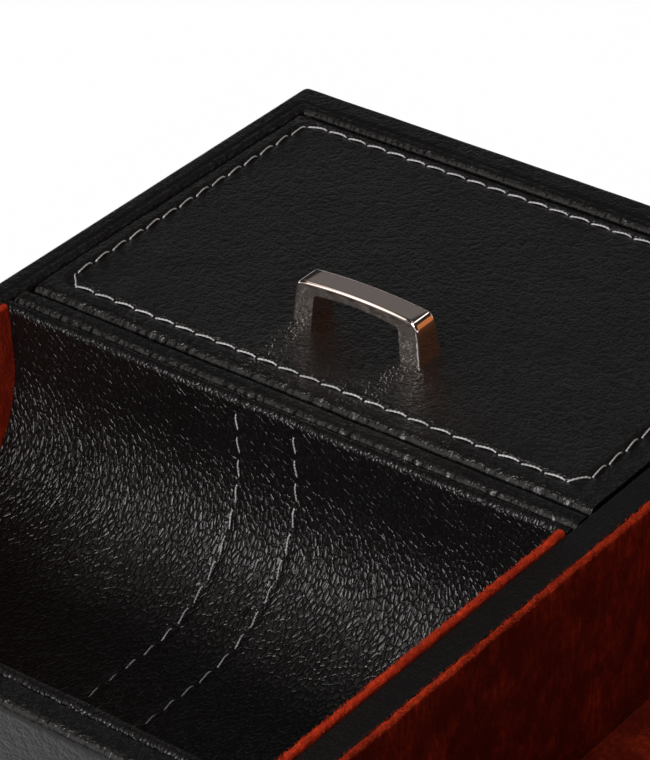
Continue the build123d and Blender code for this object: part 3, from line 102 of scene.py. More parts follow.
class Finish:
    """A material whose nodes are added one by one, with its lengths in millimetres."""

    def __init__(self, name):
        self.material = bpy.data.materials.new(name)
        self.material.use_nodes = True
        self.tree = self.material.node_tree
        self.tree.nodes.clear()
        self.end = self.tree.nodes.new("ShaderNodeOutputMaterial")

    def node(self, kind, settings=None, sockets=None, out=0):
        made = self.tree.nodes.new(kind)
        for name, value in (settings or {}).items():
            setattr(made, name, value)
        for name, value in (sockets or {}).items():
            if isinstance(value, Wire):
                self.tree.links.new(value.socket, made.inputs[name])
            else:
                made.inputs[name].default_value = value
        return Wire(self, made.outputs[out])

    def place(self, stretch=(1.0, 1.0, 1.0), turn=(0.0, 0.0, 0.0), centre=(0.0, 0.0, 0.0)):
        """The piece's own coordinates in millimetres, moved, turned and stretched."""
        spot = self.scaled(self.node("ShaderNodeTexCoord", out="Object"), 1 / MM)
        return self.mapped(spot, {"Location": [-c for c in centre], "Rotation": turn, "Scale": stretch})

    def scaled(self, vector, amount):
        return self.node("ShaderNodeVectorMath", {"operation": "SCALE"}, {"Vector": vector, "Scale": amount})

    def mapped(self, vector, sockets):
        return self.node("ShaderNodeMapping", {"vector_type": "POINT"}, {"Vector": vector, **sockets})

    def facing(self):
        """X, Y and Z of the surface's direction on the piece."""
        return self.split(self.node("ShaderNodeTexCoord", out="Normal"))

    def split(self, vector):
        made = self.node("ShaderNodeSeparateXYZ", sockets={"Vector": vector})
        return [Wire(self, socket) for socket in made.socket.node.outputs]

    def join(self, x, y, z):
        return self.node("ShaderNodeCombineXYZ", sockets={"X": x, "Y": y, "Z": z})

    def cloud(self, vector, size, detail=3.0, roughness=0.55, out="Fac"):
        """Soft noise with features of about that size."""
        return self.node(
            "ShaderNodeTexNoise",
            sockets={"Vector": vector, "Scale": 1 / size, "Detail": detail, "Roughness": roughness},
            out=out,
        )

    def cells(self, vector, size, randomness=1.0):
        """Distance to the nearest border between cells of about that size."""
        return self.node(
            "ShaderNodeTexVoronoi",
            {"feature": "DISTANCE_TO_EDGE"},
            {"Vector": vector, "Scale": 1 / size, "Randomness": randomness},
            out="Distance",
        )

    def warped(self, vector, size, amount):
        """The same place, pushed about by a soft noise."""
        cloud = self.cloud(vector, size, 2.0, out="Color")
        centred = self.node(
            "ShaderNodeVectorMath", {"operation": "SUBTRACT"}, {0: cloud, 1: (0.5, 0.5, 0.5)}
        )
        push = self.scaled(centred, amount)
        return self.node("ShaderNodeVectorMath", {"operation": "ADD"}, {0: vector, 1: push})

    def blend(self, factor, low, high):
        """A colour between two others."""
        return self.node(
            "ShaderNodeMix", {"data_type": "RGBA"}, {0: factor, 6: colour4(low), 7: colour4(high)}, out=2
        )

    def relief(self, height):
        """A normal from a height in millimetres."""
        return self.node(
            "ShaderNodeBump", sockets={"Strength": 1.0, "Distance": MM, "Height": height}, out="Normal"
        )

    def surface(self, colour, roughness, height=None, **others):
        """The finished material, with other sockets given by name and _ for each space."""
        sockets = {name.replace("_", " "): value for name, value in others.items()}
        sockets.update({"Base Color": colour, "Roughness": roughness})
        if height:
            sockets["Normal"] = self.relief(height)
        self.show(self.node("ShaderNodeBsdfPrincipled", sockets=sockets, out="BSDF"))
        return self.material

    def show(self, shader):
        self.tree.links.new(shader.socket, self.end.inputs["Surface"])


def colour4(colour):
    if isinstance(colour, Wire) or len(colour) == 4:
        return colour
    return (*colour, 1.0)


def domed(finish, spot, cell):
    """Small pillows that meet in creases, from 0 in a crease to 1 on a crown."""
    gap = 1.0 - (finish.cells(spot, cell) * 2.3).least(1.0)
    return 1.0 - gap * gap


def flat_topped(finish, spot, cell):
    """Cells with level tops and narrow creases, from 0 in a crease to 1 on a top."""
    return finish.cells(spot, cell, 0.9).eased(0.0, 0.26)


def hide_grain(finish, spot, cell, crease):
    """Height of a pebbled hide in millimetres, and how far a point is from its creases."""
    moved = finish.warped(spot, cell * 2.4, cell * 0.7)
    pebbles = flat_topped(finish, moved, cell)
    small = domed(finish, moved, cell * 0.52)
    folds = flat_topped(finish, finish.warped(spot, cell * 4.0, cell * 1.6), cell * 2.6)
    swell = finish.cloud(spot, 8.0, 2.0)
    height = pebbles * (crease * 0.7) + small * (crease * 0.3) + folds * (crease * 0.8)
    return height + swell * (crease * 1.2), pebbles


def hide_colour_with_crease_shade(finish, colour, pebbles, tone):
    """Leather, darker in worn patches, with painted shade darkening its creases."""
    return finish.blend(pebbles * 0.7 + tone * 0.3, [c * 0.6 for c in colour], colour)


def edge_wrinkles(finish, spot, depth):
    """Height of the small creases across a turned leather edge, and where they lie."""
    x, y, _ = finish.split(spot)
    nx, ny, nz = finish.facing()
    runs_y = (abs(nx) - abs(ny)).eased(-0.02, 0.02)
    along = x * (1.0 - runs_y) + y * runs_y
    across = y * (1.0 - runs_y) + x * runs_y
    mask = nz.eased(-0.1, 0.3) * (1.0 - nz.eased(0.70, 0.95))
    line = finish.join(along * 0.85, across * 0.12, 0.0)
    waves = finish.cloud(line, 1.0, 1.5, 0.5)
    return waves * depth * mask, mask


def black_hide(name, colour, cell, crease, roughness, wrinkle, groove=None):
    """Black leather, pebbled, with wrinkled edges and a groove where a stitch row runs."""
    finish = Finish(name)
    spot = finish.place()
    height, pebbles = hide_grain(finish, spot, cell, crease)
    creases, edge = edge_wrinkles(finish, spot, wrinkle)
    height = height * (1.0 - 0.9 * edge) + creases
    if groove:
        (low_x, low_y), (high_x, high_y), corner = groove
        x, y, _ = finish.split(finish.place(centre=((low_x + high_x) / 2, (low_y + high_y) / 2, 0.0)))
        beside = abs(x) - ((high_x - low_x) / 2 - corner)
        ahead = abs(y) - ((high_y - low_y) / 2 - corner)
        out_x, out_y = beside.most(0.0), ahead.most(0.0)
        away = abs((out_x * out_x + out_y * out_y) ** 0.5 + beside.most(ahead).least(0.0) - corner)
        height = height - (1.0 - away.eased(0.1, 1.3)) * 0.35
    tone = finish.cloud(spot, 14.0, 3.0)
    return finish.surface(
        hide_colour_with_crease_shade(finish, colour, pebbles, tone),
        roughness - 0.08 * (1.0 - pebbles) + 0.1 * (tone - 0.5) - 0.08 * edge,
        height,
        Specular_IOR_Level=HIDE_GLOSS,
    )


def trough_hide(name, colour):
    """Coarser, glossier leather, its grain drawn out down the bent wall."""
    finish = Finish(name)
    flat = finish.scaled(finish.node("ShaderNodeUVMap", {"uv_map": "hide"}), 1 / MM)
    drawn_out = {"Rotation": (0.0, 0.0, math.radians(28)), "Scale": (1.0, 0.55, 1.0)}
    spot = finish.mapped(flat, drawn_out)
    moved = finish.warped(spot, 2.4, 0.35)
    border = finish.cells(moved, 0.92, 0.85)
    pebbles = (border * 3.0).least(1.0)
    cuts = (border * 11.0).least(1.0)
    small = flat_topped(finish, moved, 0.45)
    pulled = finish.cloud(spot, 6.0, 3.0)
    x, _, _ = finish.split(finish.place())
    left, right = TROUGH_ROWS[0] / MM, TROUGH_ROWS[1] / MM
    near = abs(x - left).least(abs(x - right))
    groove = 1.0 - near.eased(0.15, 1.6)
    height = pebbles * 0.10 + cuts * 0.05 + small * 0.02 + pulled * 0.12 - groove * 0.3
    tone = finish.cloud(spot, 12.0, 3.0)
    return finish.surface(
        hide_colour_with_crease_shade(finish, colour, pebbles, tone),
        0.27 + 0.07 * pebbles + 0.12 * (tone - 0.5),
        height,
        Specular_IOR_Level=HIDE_GLOSS,
    )


def suede(name, dark, bright, nap=0.10, top_highlight=0.0):
    """Brushed suede: patches where the nap lies one way or the other, fine fibres, and painted highlight on
    the fibres of faces that look up.
    """
    finish = Finish(name)
    spot = finish.place()
    patches = finish.cloud(finish.warped(spot, 10.0, 7.0), 8.5, 5.0, 0.72).eased(0.38, 0.70)
    brushed = finish.place(stretch=(1.0, 1.0, 0.3), turn=(0.25, 0.15, 0.3))
    strokes = finish.cloud(brushed, 1.1, 4.0, 0.7)
    fibres = finish.cloud(spot, 0.32, 3.0, 0.7)
    _, _, up = finish.facing()
    lift = patches * 0.30 + patches * strokes.eased(0.45, 0.62) * 0.55 + fibres.eased(0.35, 0.75) * 0.25
    # Painted highlight: on faces that look up, the fibres are drawn lighter.
    lift = lift + up.eased(0.1, 0.7) * fibres.eased(0.3, 0.7) * top_highlight
    height = fibres * nap + strokes * nap * 2.2 + patches * 0.1
    return finish.surface(
        finish.blend(lift, dark, bright),
        0.95 - 0.1 * fibres,
        height,
        Specular_IOR_Level=0.05,
        Sheen_Weight=0.12,
        Sheen_Roughness=0.5,
        Sheen_Tint=(1.0, 0.16, 0.06, 1.0),
    )


def metal(name, colour, roughness, wear=0.05, grain=0.0, turned=False):
    """Bare or plated metal with faint wear in its gloss."""
    finish = Finish(name)
    spot = finish.place(stretch=(0.15, 1.0, 1.0) if turned else (1.0, 1.0, 1.0))
    haze = finish.cloud(spot, 6.0, 4.0, 0.6)
    fine = finish.cloud(spot, 0.35, 3.0, 0.6)
    shade = [c * 0.9 for c in colour]
    return finish.surface(
        finish.blend(haze, shade, colour),
        roughness + wear * haze + wear * 0.5 * fine,
        fine * grain + haze * 0.004,
        Metallic=1.0,
    )


def moulded(name, colour, roughness, texture=0.02, lift=1.25):
    """Moulded plastic or rubber with a fine spark texture."""
    finish = Finish(name)
    spot = finish.place()
    spark = finish.cloud(spot, 0.3, 3.0, 0.6)
    tone = finish.cloud(spot, 10.0, 3.0)
    return finish.surface(
        finish.blend(tone * 0.6 + spark * 0.4, colour, [min(1, c * lift) for c in colour]),
        roughness + 0.12 * (spark - 0.5) + 0.08 * (tone - 0.5),
        spark * texture,
        Specular_IOR_Level=0.45,
    )


def thread_finish(name, colour):
    """Waxed thread, slightly soiled in places."""
    finish = Finish(name)
    spot = finish.place()
    tone = finish.cloud(spot, 3.0, 3.0)
    fibre = finish.cloud(spot, 0.12, 2.0)
    return finish.surface(
        finish.blend(tone.eased(0.3, 0.7), [c * 0.62 for c in colour], colour),
        0.45 + 0.2 * fibre,
        fibre * 0.02,
        Sheen_Weight=0.2,
    )


def clear_glass(name):
    """Clear float glass, seen by its reflections and a faint tint."""
    finish = Finish(name)
    rim = finish.node("ShaderNodeLayerWeight", sockets={"Blend": 0.25}, out="Fresnel")
    smear = finish.cloud(finish.place(), 40.0, 3.0)
    return finish.surface(
        finish.blend(smear, (0.010, 0.016, 0.015), (0.016, 0.024, 0.022)),
        0.015 + 0.02 * smear,
        Alpha=0.10 + 0.75 * rim,
    )


def solder_mask(name, colour):
    """Green board lacquer over faint copper tracks."""
    finish = Finish(name)
    x, _, z = finish.split(finish.place())
    tracks = finish.cells(finish.join(x, z, 0.0), 4.0, 0.25).eased(0.10, 0.16)
    tone = finish.cloud(finish.place(), 8.0, 2.0)
    return finish.surface(
        finish.blend(tracks, [c * 1.9 for c in colour], colour), 0.32 + 0.1 * tone, tracks * -0.03
    )


def finish_for(name):
    """The finish of that name, made when it is first asked for."""
    if name in finishes:
        return finishes[name]
    colours = bpy.context.scene.winder_colours
    # Painted highlight: a lit copy of the suede colour, 1.5 times as bright, for the trough linings.
    suede_lit = [min(1, c * 1.5) for c in colours.suede]
    # Painted shade: a shaded copy of the suede colour, 0.6 times as bright, for the floor pads.
    suede_shaded = [c * 0.6 for c in colours.suede]
    maker, *settings = {
        "black_leather": (black_hide, colours.leather, 1.0, 0.10, 0.38, 0.13),
        "smooth_leather": (black_hide, colours.leather, 0.8, 0.06, 0.42, 0.04),
        "lid_leather": (black_hide, colours.leather, 1.0, 0.15, 0.38, 0.13, LID_GROOVE),
        "trough_leather": (trough_hide, colours.leather),
        "red_suede": (suede, (0.055, 0.0016, 0.0008), colours.suede, 0.10, 0.6),
        "lit_suede": (suede, (0.19, 0.012, 0.004), suede_lit, 0.10, 0.3),
        "floor_suede": (suede, (0.036, 0.0009, 0.0004), suede_shaded),
        "cushion_suede": (suede, (0.07, 0.003, 0.0015), colours.suede, 0.08),
        "waxed_thread": (thread_finish, colours.thread),
        "worn_thread": (thread_finish, [c * 0.85 for c in colours.thread]),
        "polished_metal": (metal, colours.metal, 0.07, 0.03),
        "steel": (metal, (0.56, 0.56, 0.55), 0.28, 0.1, 0.004, True),
        "board_steel": (metal, (0.62, 0.62, 0.62), 0.36, 0.1, 0.006, True),
        "motor_can": (metal, (0.50, 0.50, 0.51), 0.30, 0.1, 0.004),
        "brass_pinion": (metal, (0.72, 0.50, 0.20), 0.25, 0.1, 0.004),
        "clear_glass": (clear_glass,),
        "black_plastic": (moulded, (0.018, 0.018, 0.018), 0.42, 0.03, 1.5),
        "gear_nylon": (moulded, (0.72, 0.70, 0.64), 0.38, 0.01, 1.08),
        "circuit_board": (solder_mask, (0.012, 0.11, 0.045)),
        "foot_rubber": (moulded, (0.02, 0.02, 0.02), 0.75, 0.06, 1.5),
    }[name]
    finishes[name] = maker(name, *settings)
    return finishes[name]


# Making pieces


def mesh_of(name, bm):
    """A named mesh made from a bmesh, which is then let go."""
    mesh = bpy.data.meshes.new(name)
    bm.to_mesh(mesh)
    bm.free()
    return mesh


def placed(name, data):
    """A new object in the scene."""
    made = bpy.data.objects.new(name, data)
    bpy.context.scene.collection.objects.link(made)
    return made


def points_of(geometry):
    return [g for g in geometry if isinstance(g, bmesh.types.BMVert)]


def finished(name, bm, slot_name, body, replaces=(), finish=None, sharp=40, weighted=True):
    """Turn a bmesh into a piece that rides on a body and stands for its CAD nodes."""
    bm.normal_update()
    mesh = mesh_of(name, bm)
    mesh.polygons.foreach_set("use_smooth", [True] * len(mesh.polygons))
    mesh.set_sharp_from_angle(angle=math.radians(sharp))
    piece = placed(name, mesh)
    mesh.materials.append(finish_for(finish or slot_name))
    if weighted:
        even = piece.modifiers.new("even_shading", "WEIGHTED_NORMAL")
        even.keep_sharp = True
    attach(piece, body)
    if replaces:
        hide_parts(*replaces)
    return piece


def dressed(nodes, slot_name):
    """Give CAD nodes whose shape is right a procedural finish."""
    for node in nodes:
        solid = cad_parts[node]
        if not solid.material_slots:
            solid.data.materials.append(None)
        for place in solid.material_slots:
            place.material = finish_for(slot_name)


def cut_block(low, high, cuts=(0, 0, 0)):
    """A bmesh block between two corners, with that many cuts along each axis."""
    bm = bmesh.new()
    bmesh.ops.create_cube(bm, size=1.0)
    low, high = Vector(low), Vector(high)
    bmesh.ops.scale(bm, vec=high - low, verts=bm.verts)
    bmesh.ops.translate(bm, vec=(low + high) / 2, verts=bm.verts)
    for axis in range(3):
        if cuts[axis]:
            along = [e for e in bm.edges if runs_along(e, axis)]
            bmesh.ops.subdivide_edges(bm, edges=along, cuts=cuts[axis], use_grid_fill=True)
    return bm


def runs_along(edge, axis):
    way = edge.verts[1].co - edge.verts[0].co
    return abs(way[axis]) > 0.999 * way.length


def at(edge, axis, place):
    return all(abs(v.co[axis] - place) < TOUCHING for v in edge.verts)


def on_either(edge, axis, low, high):
    return at(edge, axis, low[axis]) or at(edge, axis, high[axis])


def along_top(high, axis):
    """A test for the edges at the top of a board that run along an axis."""
    return lambda e: at(e, 2, high.z) and runs_along(e, axis)


def rounded(bm, test, radius, segments=5):
    """Round the edges that pass the test."""
    edges = [e for e in bm.edges if test(e)]
    bmesh.ops.bevel(
        bm,
        geom=edges,
        offset=radius,
        offset_type="OFFSET",
        segments=segments,
        profile=0.5,
        affect="EDGES",
        material=-1,
        clamp_overlap=True,
    )
    return bm


def cleaned(bm):
    """Merge points in one place, and the faces without area between them."""
    bmesh.ops.remove_doubles(bm, verts=bm.verts, dist=TOUCHING)
    bmesh.ops.dissolve_degenerate(bm, dist=TOUCHING, edges=bm.edges)


def wobbled(bm, amount, size, test=lambda v: True, seed=0.0):
    """Move points a little along their normals, as hand wrapped work does."""
    bm.normal_update()
    moves = []
    for v in bm.verts:
        if test(v):
            spot = v.co / size + Vector((seed, seed * 0.7, seed * 1.3))
            moves.append((v, v.normal * (amount * noise.noise(spot))))
    for v, move in moves:
        v.co += move
    return bm


def tube_along(bm, points, radius, sides=6):
    """A closed tube through points, extruded cap by cap."""
    ring = bmesh.ops.create_circle(bm, segments=sides, radius=radius, cap_ends=True)["verts"]
    way = (points[1] - points[0]).normalized()
    turn = way.to_track_quat("Z", "Y").to_matrix()
    bmesh.ops.rotate(bm, cent=(0, 0, 0), matrix=turn, verts=ring)
    bmesh.ops.translate(bm, vec=points[0], verts=ring)
    cap = ring[0].link_faces[0]
    for index in range(1, len(points)):
        grown = bmesh.ops.extrude_face_region(bm, geom=[cap, *cap.edges])["geom"]
        ring = points_of(grown)
        cap = next(g for g in grown if isinstance(g, bmesh.types.BMFace))
        bmesh.ops.translate(bm, vec=points[index] - points[index - 1], verts=ring)
        if index + 1 < len(points):
            following = (points[index + 1] - points[index]).normalized()
            bend = way.rotation_difference(following).to_matrix()
            bmesh.ops.rotate(bm, cent=points[index], matrix=bend, verts=ring)
            way = following


# Stitching


def stitch_mesh(length, thread, lean):
    """One raised stitch of two twisted plies along X, its ends down in their holes."""
    bm = bmesh.new()
    steps = 11
    for ply in range(2):
        points = []
        for step in range(steps + 1):
            share = step / steps
            rise = math.sin(math.pi * min(1.0, max(0.0, share))) ** 0.45
            angle = 2 * math.pi * share * length / (thread * 3.6) + math.pi * ply
            centre = Vector(
                (
                    (share - 0.5) * length,
                    lean * math.sin(2 * math.pi * (share - 0.5)) * thread,
                    (rise * 0.9 - 0.55) * thread,
                )
            )
            points.append(centre + Vector((0, math.cos(angle), math.sin(angle))) * thread * 0.27)
        tube_along(bm, points, thread * 0.23)
    bmesh.ops.recalc_face_normals(bm, faces=bm.faces)
    return mesh_of("one_stitch", bm)


def stitch_row(bm, one, spots, seed):
    """Copy one stitch between each pair of places, each with its way up."""
    dice = random.Random(seed)
    for (start, up_start), (end, up_end) in zip(spots, spots[1:]):
        along = (end - start).normalized()
        up = ((up_start + up_end) / 2).normalized()
        side = up.cross(along).normalized()
        up = along.cross(side)
        turn = Matrix((along, side, up)).transposed().to_4x4()
        lean = Matrix.Rotation(math.radians(5.0 + dice.uniform(-2.0, 2.0)), 4, "Z")
        place = Matrix.Translation((start + end) / 2 + up * dice.uniform(-0.03, 0.03) * MM)
        before = set(bm.verts)
        bm.from_mesh(one)
        fresh = [v for v in bm.verts if v not in before]
        bmesh.ops.transform(bm, matrix=place @ turn @ lean, verts=fresh)


def around(low, high, corner, pitch, z):
    """Stitch places round a rectangle with rounded corners."""
    (x0, y0), (x1, y1) = low, high
    runs = [
        (Vector((x0 + corner, y0)), Vector((x1 - corner, y0)), Vector((x1 - corner, y0 + corner)), -90),
        (Vector((x1, y0 + corner)), Vector((x1, y1 - corner)), Vector((x1 - corner, y1 - corner)), 0),
        (Vector((x1 - corner, y1)), Vector((x0 + corner, y1)), Vector((x0 + corner, y1 - corner)), 90),
        (Vector((x0, y1 - corner)), Vector((x0, y0 + corner)), Vector((x0 + corner, y0 + corner)), 180),
    ]
    arc = corner * math.pi / 2
    total = sum((end - start).length + arc for start, end, _, _ in runs)
    count = round(total / pitch)
    spots = []
    for index in range(count + 1):
        left = total * (index % count) / count
        for start, end, centre, angle in runs:
            run = (end - start).length
            if left <= run:
                spot = start + (end - start) * (left / run)
                break
            if left <= run + arc:
                swing = math.radians(angle) + (left - run) / corner
                spot = centre + Vector((math.cos(swing), math.sin(swing))) * corner
                break
            left -= run + arc
        spots.append((Vector((spot.x, spot.y, z)), Vector((0, 0, 1))))
    return spots


# Places read from the frame

CASE_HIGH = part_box("right_wall")[1]
TRAY_LOW, TRAY_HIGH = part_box("trough_insert")[0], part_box("bay_side_linings")[1]
OUTER_CORNER = 1.4 * MM
BEAD_WIDTH = 2.6 * MM
BEAD_ROUND = 1.7 * MM
LEATHER_ROLL = 2.4 * MM
LID_LOW, LID_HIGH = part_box("lid_board")
TROUGH_LOW, TROUGH_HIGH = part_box("trough_insert")
STITCH_LOW = (-123.4 * MM, 8.1 * MM)
STITCH_HIGH = (-8.9 * MM, 78.4 * MM)
STITCH_CORNER = 2.6
TUFTS_PER_MM = 12
TUFT_BATCH = 100
RAGGED_DEPTH = 1.2 * MM
CLOTH_FRAMES = 20
LID_GROOVE = (
    tuple(v / MM for v in STITCH_LOW),
    tuple(v / MM for v in STITCH_HIGH),
    STITCH_CORNER,
)
TROUGH_ROWS = (-72.5 * MM, -59.7 * MM)
ROW_END = 0.018
INSERT_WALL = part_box("trough_lining_left")[0].z - TROUGH_LOW.z
TROUGH_RADIUS = 27.0 * MM


def trough_spot(share):
    """A place on the trough's inner face, from its front lip to its back lip, and its way up."""
    front, back = TROUGH_LOW.y + INSERT_WALL, TROUGH_HIGH.y - INSERT_WALL
    floor, top = TROUGH_LOW.z + INSERT_WALL, TROUGH_HIGH.z
    straight = top - floor - TROUGH_RADIUS
    level = back - front - 2 * TROUGH_RADIUS
    arc = TROUGH_RADIUS * math.pi / 2
    total = 2 * straight + 2 * arc + level
    run = share * total
    mirrored = run > total / 2
    if mirrored:
        run = total - run
    if run <= straight:
        y, z, ny, nz = front, top - run, 1.0, 0.0
    elif run <= straight + arc:
        swing = (run - straight) / TROUGH_RADIUS
        ny, nz = math.cos(swing), math.sin(swing)
        y = front + TROUGH_RADIUS - TROUGH_RADIUS * ny
        z = floor + TROUGH_RADIUS - TROUGH_RADIUS * nz
    else:
        y, z, ny, nz = front + TROUGH_RADIUS + run - straight - arc, floor, 0.0, 1.0
    if mirrored:
        y, ny = front + back - y, -ny
    return Vector((0, y, z)), Vector((0, ny, nz)), total


# Settings


def length(name, description, millimetres):
    """A length to set in the sidebar."""
    return bpy.props.FloatProperty(
        name=name, description=description, default=millimetres * MM, unit="LENGTH", subtype="DISTANCE"
    )


def colour(name, description, default):
    """A colour to set in the sidebar."""
    return bpy.props.FloatVectorProperty(
        name=name, description=description, default=default, subtype="COLOR"
    )


class WinderSizes(bpy.types.PropertyGroup):
    """Sizes of the dress that stand apart from the frame."""

    stitch_pitch: length("Stitch pitch", "Length of one stitch", 4.75)
    thread: length("Thread thickness", "Thickness of the two ply thread", 0.42)
    crease_depth: length("Crease depth", "Depth of the small creases across the rolled edges", 0.14)
    crease_pitch: length("Crease pitch", "Distance from one crease to the next", 0.8)
    suede_round: length("Suede rounding", "Radius of the suede boards' edges", 0.7)
    unevenness: length("Unevenness", "How far hand wrapped edges wander", 0.12)


class WinderColours(bpy.types.PropertyGroup):
    """Colours of the dress."""

    leather: colour("Leather", "Colour of the leather", (0.0037, 0.0033, 0.0033))
    suede: colour("Suede", "Colour of the raised nap", (0.36, 0.028, 0.008))
    thread: colour("Thread", "Colour of the stitching", (0.43, 0.425, 0.43))
    metal: colour("Metal", "Colour of the polished metal", (0.95, 0.83, 0.77))


# Operators


class WINDER_OT_boards(bpy.types.Operator):
    """Wrap the case walls, the divider bar and the partition in leather"""

    bl_idname = "winder.boards"
    bl_label = "Case boards"

    def execute(self, context):
        sizes = context.scene.winder_sizes
        for seed, node in enumerate(("left_wall", "right_wall", "back_wall", "tray_front_wall")):
            low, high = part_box(node)
            along = 1 if node in ("left_wall", "right_wall") else 0
            bm = fine_strip(low, high, along, sizes.crease_pitch)
            if along == 1:
                outer = low.x if node == "left_wall" else high.x
                rounded(
                    bm, lambda e: runs_along(e, 2) and at(e, 0, outer) and on_either(e, 1, low, high),
                    OUTER_CORNER,
                )
            elif node == "back_wall":
                open_service_hole(bm, low, high)
            rim_lines(bm, low, high, 1 - along)
            cleaned(bm)
            shape_rim(bm, high.z, sizes.crease_depth, seed)
            finished(f"{node}_leather", bm, "black_leather", "case", [node])
        low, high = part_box("divider_bar")
        bm = fine_strip(low, high, 0, sizes.crease_pitch)
        rounded(bm, lambda e: at(e, 2, high.z) and at(e, 1, low.y), 1.9 * MM, 9)
        rounded(bm, lambda e: at(e, 2, high.z) and at(e, 1, high.y), 1.5 * MM, 6)
        creased(bm, 0, sizes.crease_depth, lambda v: front_roll(v, low.y, high.z), 5.0)
        wobbled(bm, sizes.unevenness, 8 * MM, lambda v: v.co.z > high.z - 3 * MM, seed=5.0)
        finished("divider_bar_leather", bm, "black_leather", "case", ["divider_bar"])
        low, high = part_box("partition_wall")
        bm = cut_block(low, high, (0, 120, 0))
        rounded(bm, lambda e: at(e, 2, high.z) and on_either(e, 0, low, high), 0.7 * MM)
        wobbled(bm, sizes.unevenness * 0.5, 9 * MM, lambda v: v.co.z > high.z - 4 * MM, seed=8.0)
        finished(
            "partition_leather", bm, "black_leather", "case", ["partition_wall"], finish="smooth_leather"
        )
        dressed(["deck_board", "base_board", "fascia_panel"], "black_leather")
        return {"FINISHED"}


def fine_strip(low, high, along, pitch):
    """A block cut finely along one axis, so that the leather's creases can be moved into it."""
    cuts = [0, 0, 0]
    cuts[along] = int((high - low)[along] / (pitch * 0.25))
    return cut_block(low, high, cuts)


def is_level(face, height):
    return all(abs(v.co.z - height) < TOUCHING for v in face.verts)


def score(bm, axis, places, level=None):
    """Cut lines square to an axis, right across a mesh or only across its faces at one height."""
    square = Vector((0, 0, 0))
    square[axis] = 1
    for place in places:
        faces = [f for f in bm.faces if level is None or is_level(f, level)]
        edges = list(dict.fromkeys(e for f in faces for e in f.edges))
        verts = list(dict.fromkeys(v for f in faces for v in f.verts))
        bmesh.ops.bisect_plane(
            bm, geom=verts + edges + faces, dist=1e-7, plane_co=square * place, plane_no=square
        )


def open_service_hole(bm, low, high):
    """Sink the rear cover's seat into the back wall and cut the hole behind it."""
    cover_low, cover_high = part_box("rear_cover")
    rebate = 8 * MM
    seat = [(cover_low.x, cover_high.x), (cover_low.z, cover_high.z)]
    hole = [(a + rebate, b - rebate) for a, b in seat]
    for box in (seat, hole):
        score(bm, 0, box[0])
        score(bm, 2, box[1])

    def inside(face, box, y):
        middle = face.calc_center_median()
        return abs(middle.y - y) < TOUCHING and all(
            box[i][0] < value < box[i][1] for i, value in enumerate((middle.x, middle.z))
        )

    seat_faces = [f for f in bm.faces if inside(f, seat, high.y)]
    sunk = bmesh.ops.extrude_face_region(bm, geom=seat_faces)["geom"]
    depth = 3 * MM
    bmesh.ops.translate(bm, vec=(0, -depth, 0), verts=points_of(sunk))
    left = [f for f in bm.faces if inside(f, seat, high.y)]
    bmesh.ops.delete(bm, geom=left, context="FACES_ONLY")
    window = [f for f in bm.faces if inside(f, hole, high.y - depth) or inside(f, hole, low.y)]
    bmesh.ops.delete(bm, geom=window, context="FACES")
    bmesh.ops.bridge_loops(bm, edges=[e for e in bm.edges if e.is_boundary])
    bmesh.ops.recalc_face_normals(bm, faces=bm.faces)


def quarter(distance, radius):
    """How far a rounded edge has dropped at that distance from it."""
    short = max(0.0, radius - max(0.0, distance))
    return radius - math.sqrt(max(0.0, radius * radius - short * short))


def rim_spot(x, y):
    """Distances of a place on the rim from the tray and from the outer outline, and its side."""
    sides = {"x": abs(x) - TRAY_HIGH.x, "back": y - TRAY_HIGH.y, "front": TRAY_LOW.y - y}
    side = max(sides, key=sides.get)
    over_x = abs(x) - (CASE_HIGH.x - OUTER_CORNER)
    over_y = abs(y) - (CASE_HIGH.y - OUTER_CORNER)
    reach = math.hypot(over_x, over_y) if over_x > 0 and over_y > 0 else max(over_x, over_y)
    return sides[side], OUTER_CORNER - reach, side


def rim_lines(bm, low, high, across):
    """Cut the lines along a wall that its rolled bead and its rounded edges need."""
    near, far = low[across], high[across]
    offsets = [o * MM for o in (0.12, 0.3, 0.55, 0.85, 1.2, 1.6, 2.1, 2.5, 2.75, 3.0, 3.6)]
    places = [near + o for o in offsets] + [far - o for o in offsets]
    score(bm, across, [p for p in places if near < p < near + (high - low)[across]], high.z)


def shape_rim(bm, top, depth, seed):
    """Drop the rim's top to its rolled inner bead, its crease and its rounded outer edge."""
    spots = []
    for v in bm.verts:
        if abs(v.co.z - top) > TOUCHING:
            continue
        inner, outer, side = rim_spot(v.co.x, v.co.y)
        if side == "front":
            drop = quarter(inner, 0.8 * MM) + quarter(outer, 2.0 * MM)
            bead = 1 - min(1.0, outer / BEAD_WIDTH)
            pull = v.co.x
        else:
            away = abs(inner - BEAD_WIDTH) / (0.45 * MM)
            groove = 0.10 * MM * math.exp(-away * away)
            drop = quarter(inner, BEAD_ROUND) + quarter(outer, 0.9 * MM) + groove
            bead = 1 - min(1.0, inner / BEAD_WIDTH)
            pull = v.co.y if side == "x" else v.co.x
        gather = depth * min(1.0, bead * 2.5)
        fold = noise.noise(Vector((pull / (1.1 * MM), inner / (7 * MM), seed)))
        fold += 0.3 * noise.noise(Vector((pull / (0.55 * MM), inner / (5 * MM), seed + 9.0)))
        level = min(1.0, inner / MM) * min(1.0, outer / MM)
        swell = 0.10 * MM * noise.noise(Vector((v.co.x, v.co.y, 0)) / (9 * MM)) * level
        spots.append((v, drop - gather * fold + swell))
    for v, drop in spots:
        v.co.z -= max(0.0, drop)


def front_roll(v, front, top):
    """How much a point lies on the rolled front edge of a board, from 0 to 1."""
    reach = (v.co.y - front) / LEATHER_ROLL
    drop = (top - v.co.z) / LEATHER_ROLL
    return max(0.0, 1 - reach) if reach < 1 and drop < 1 else 0.0


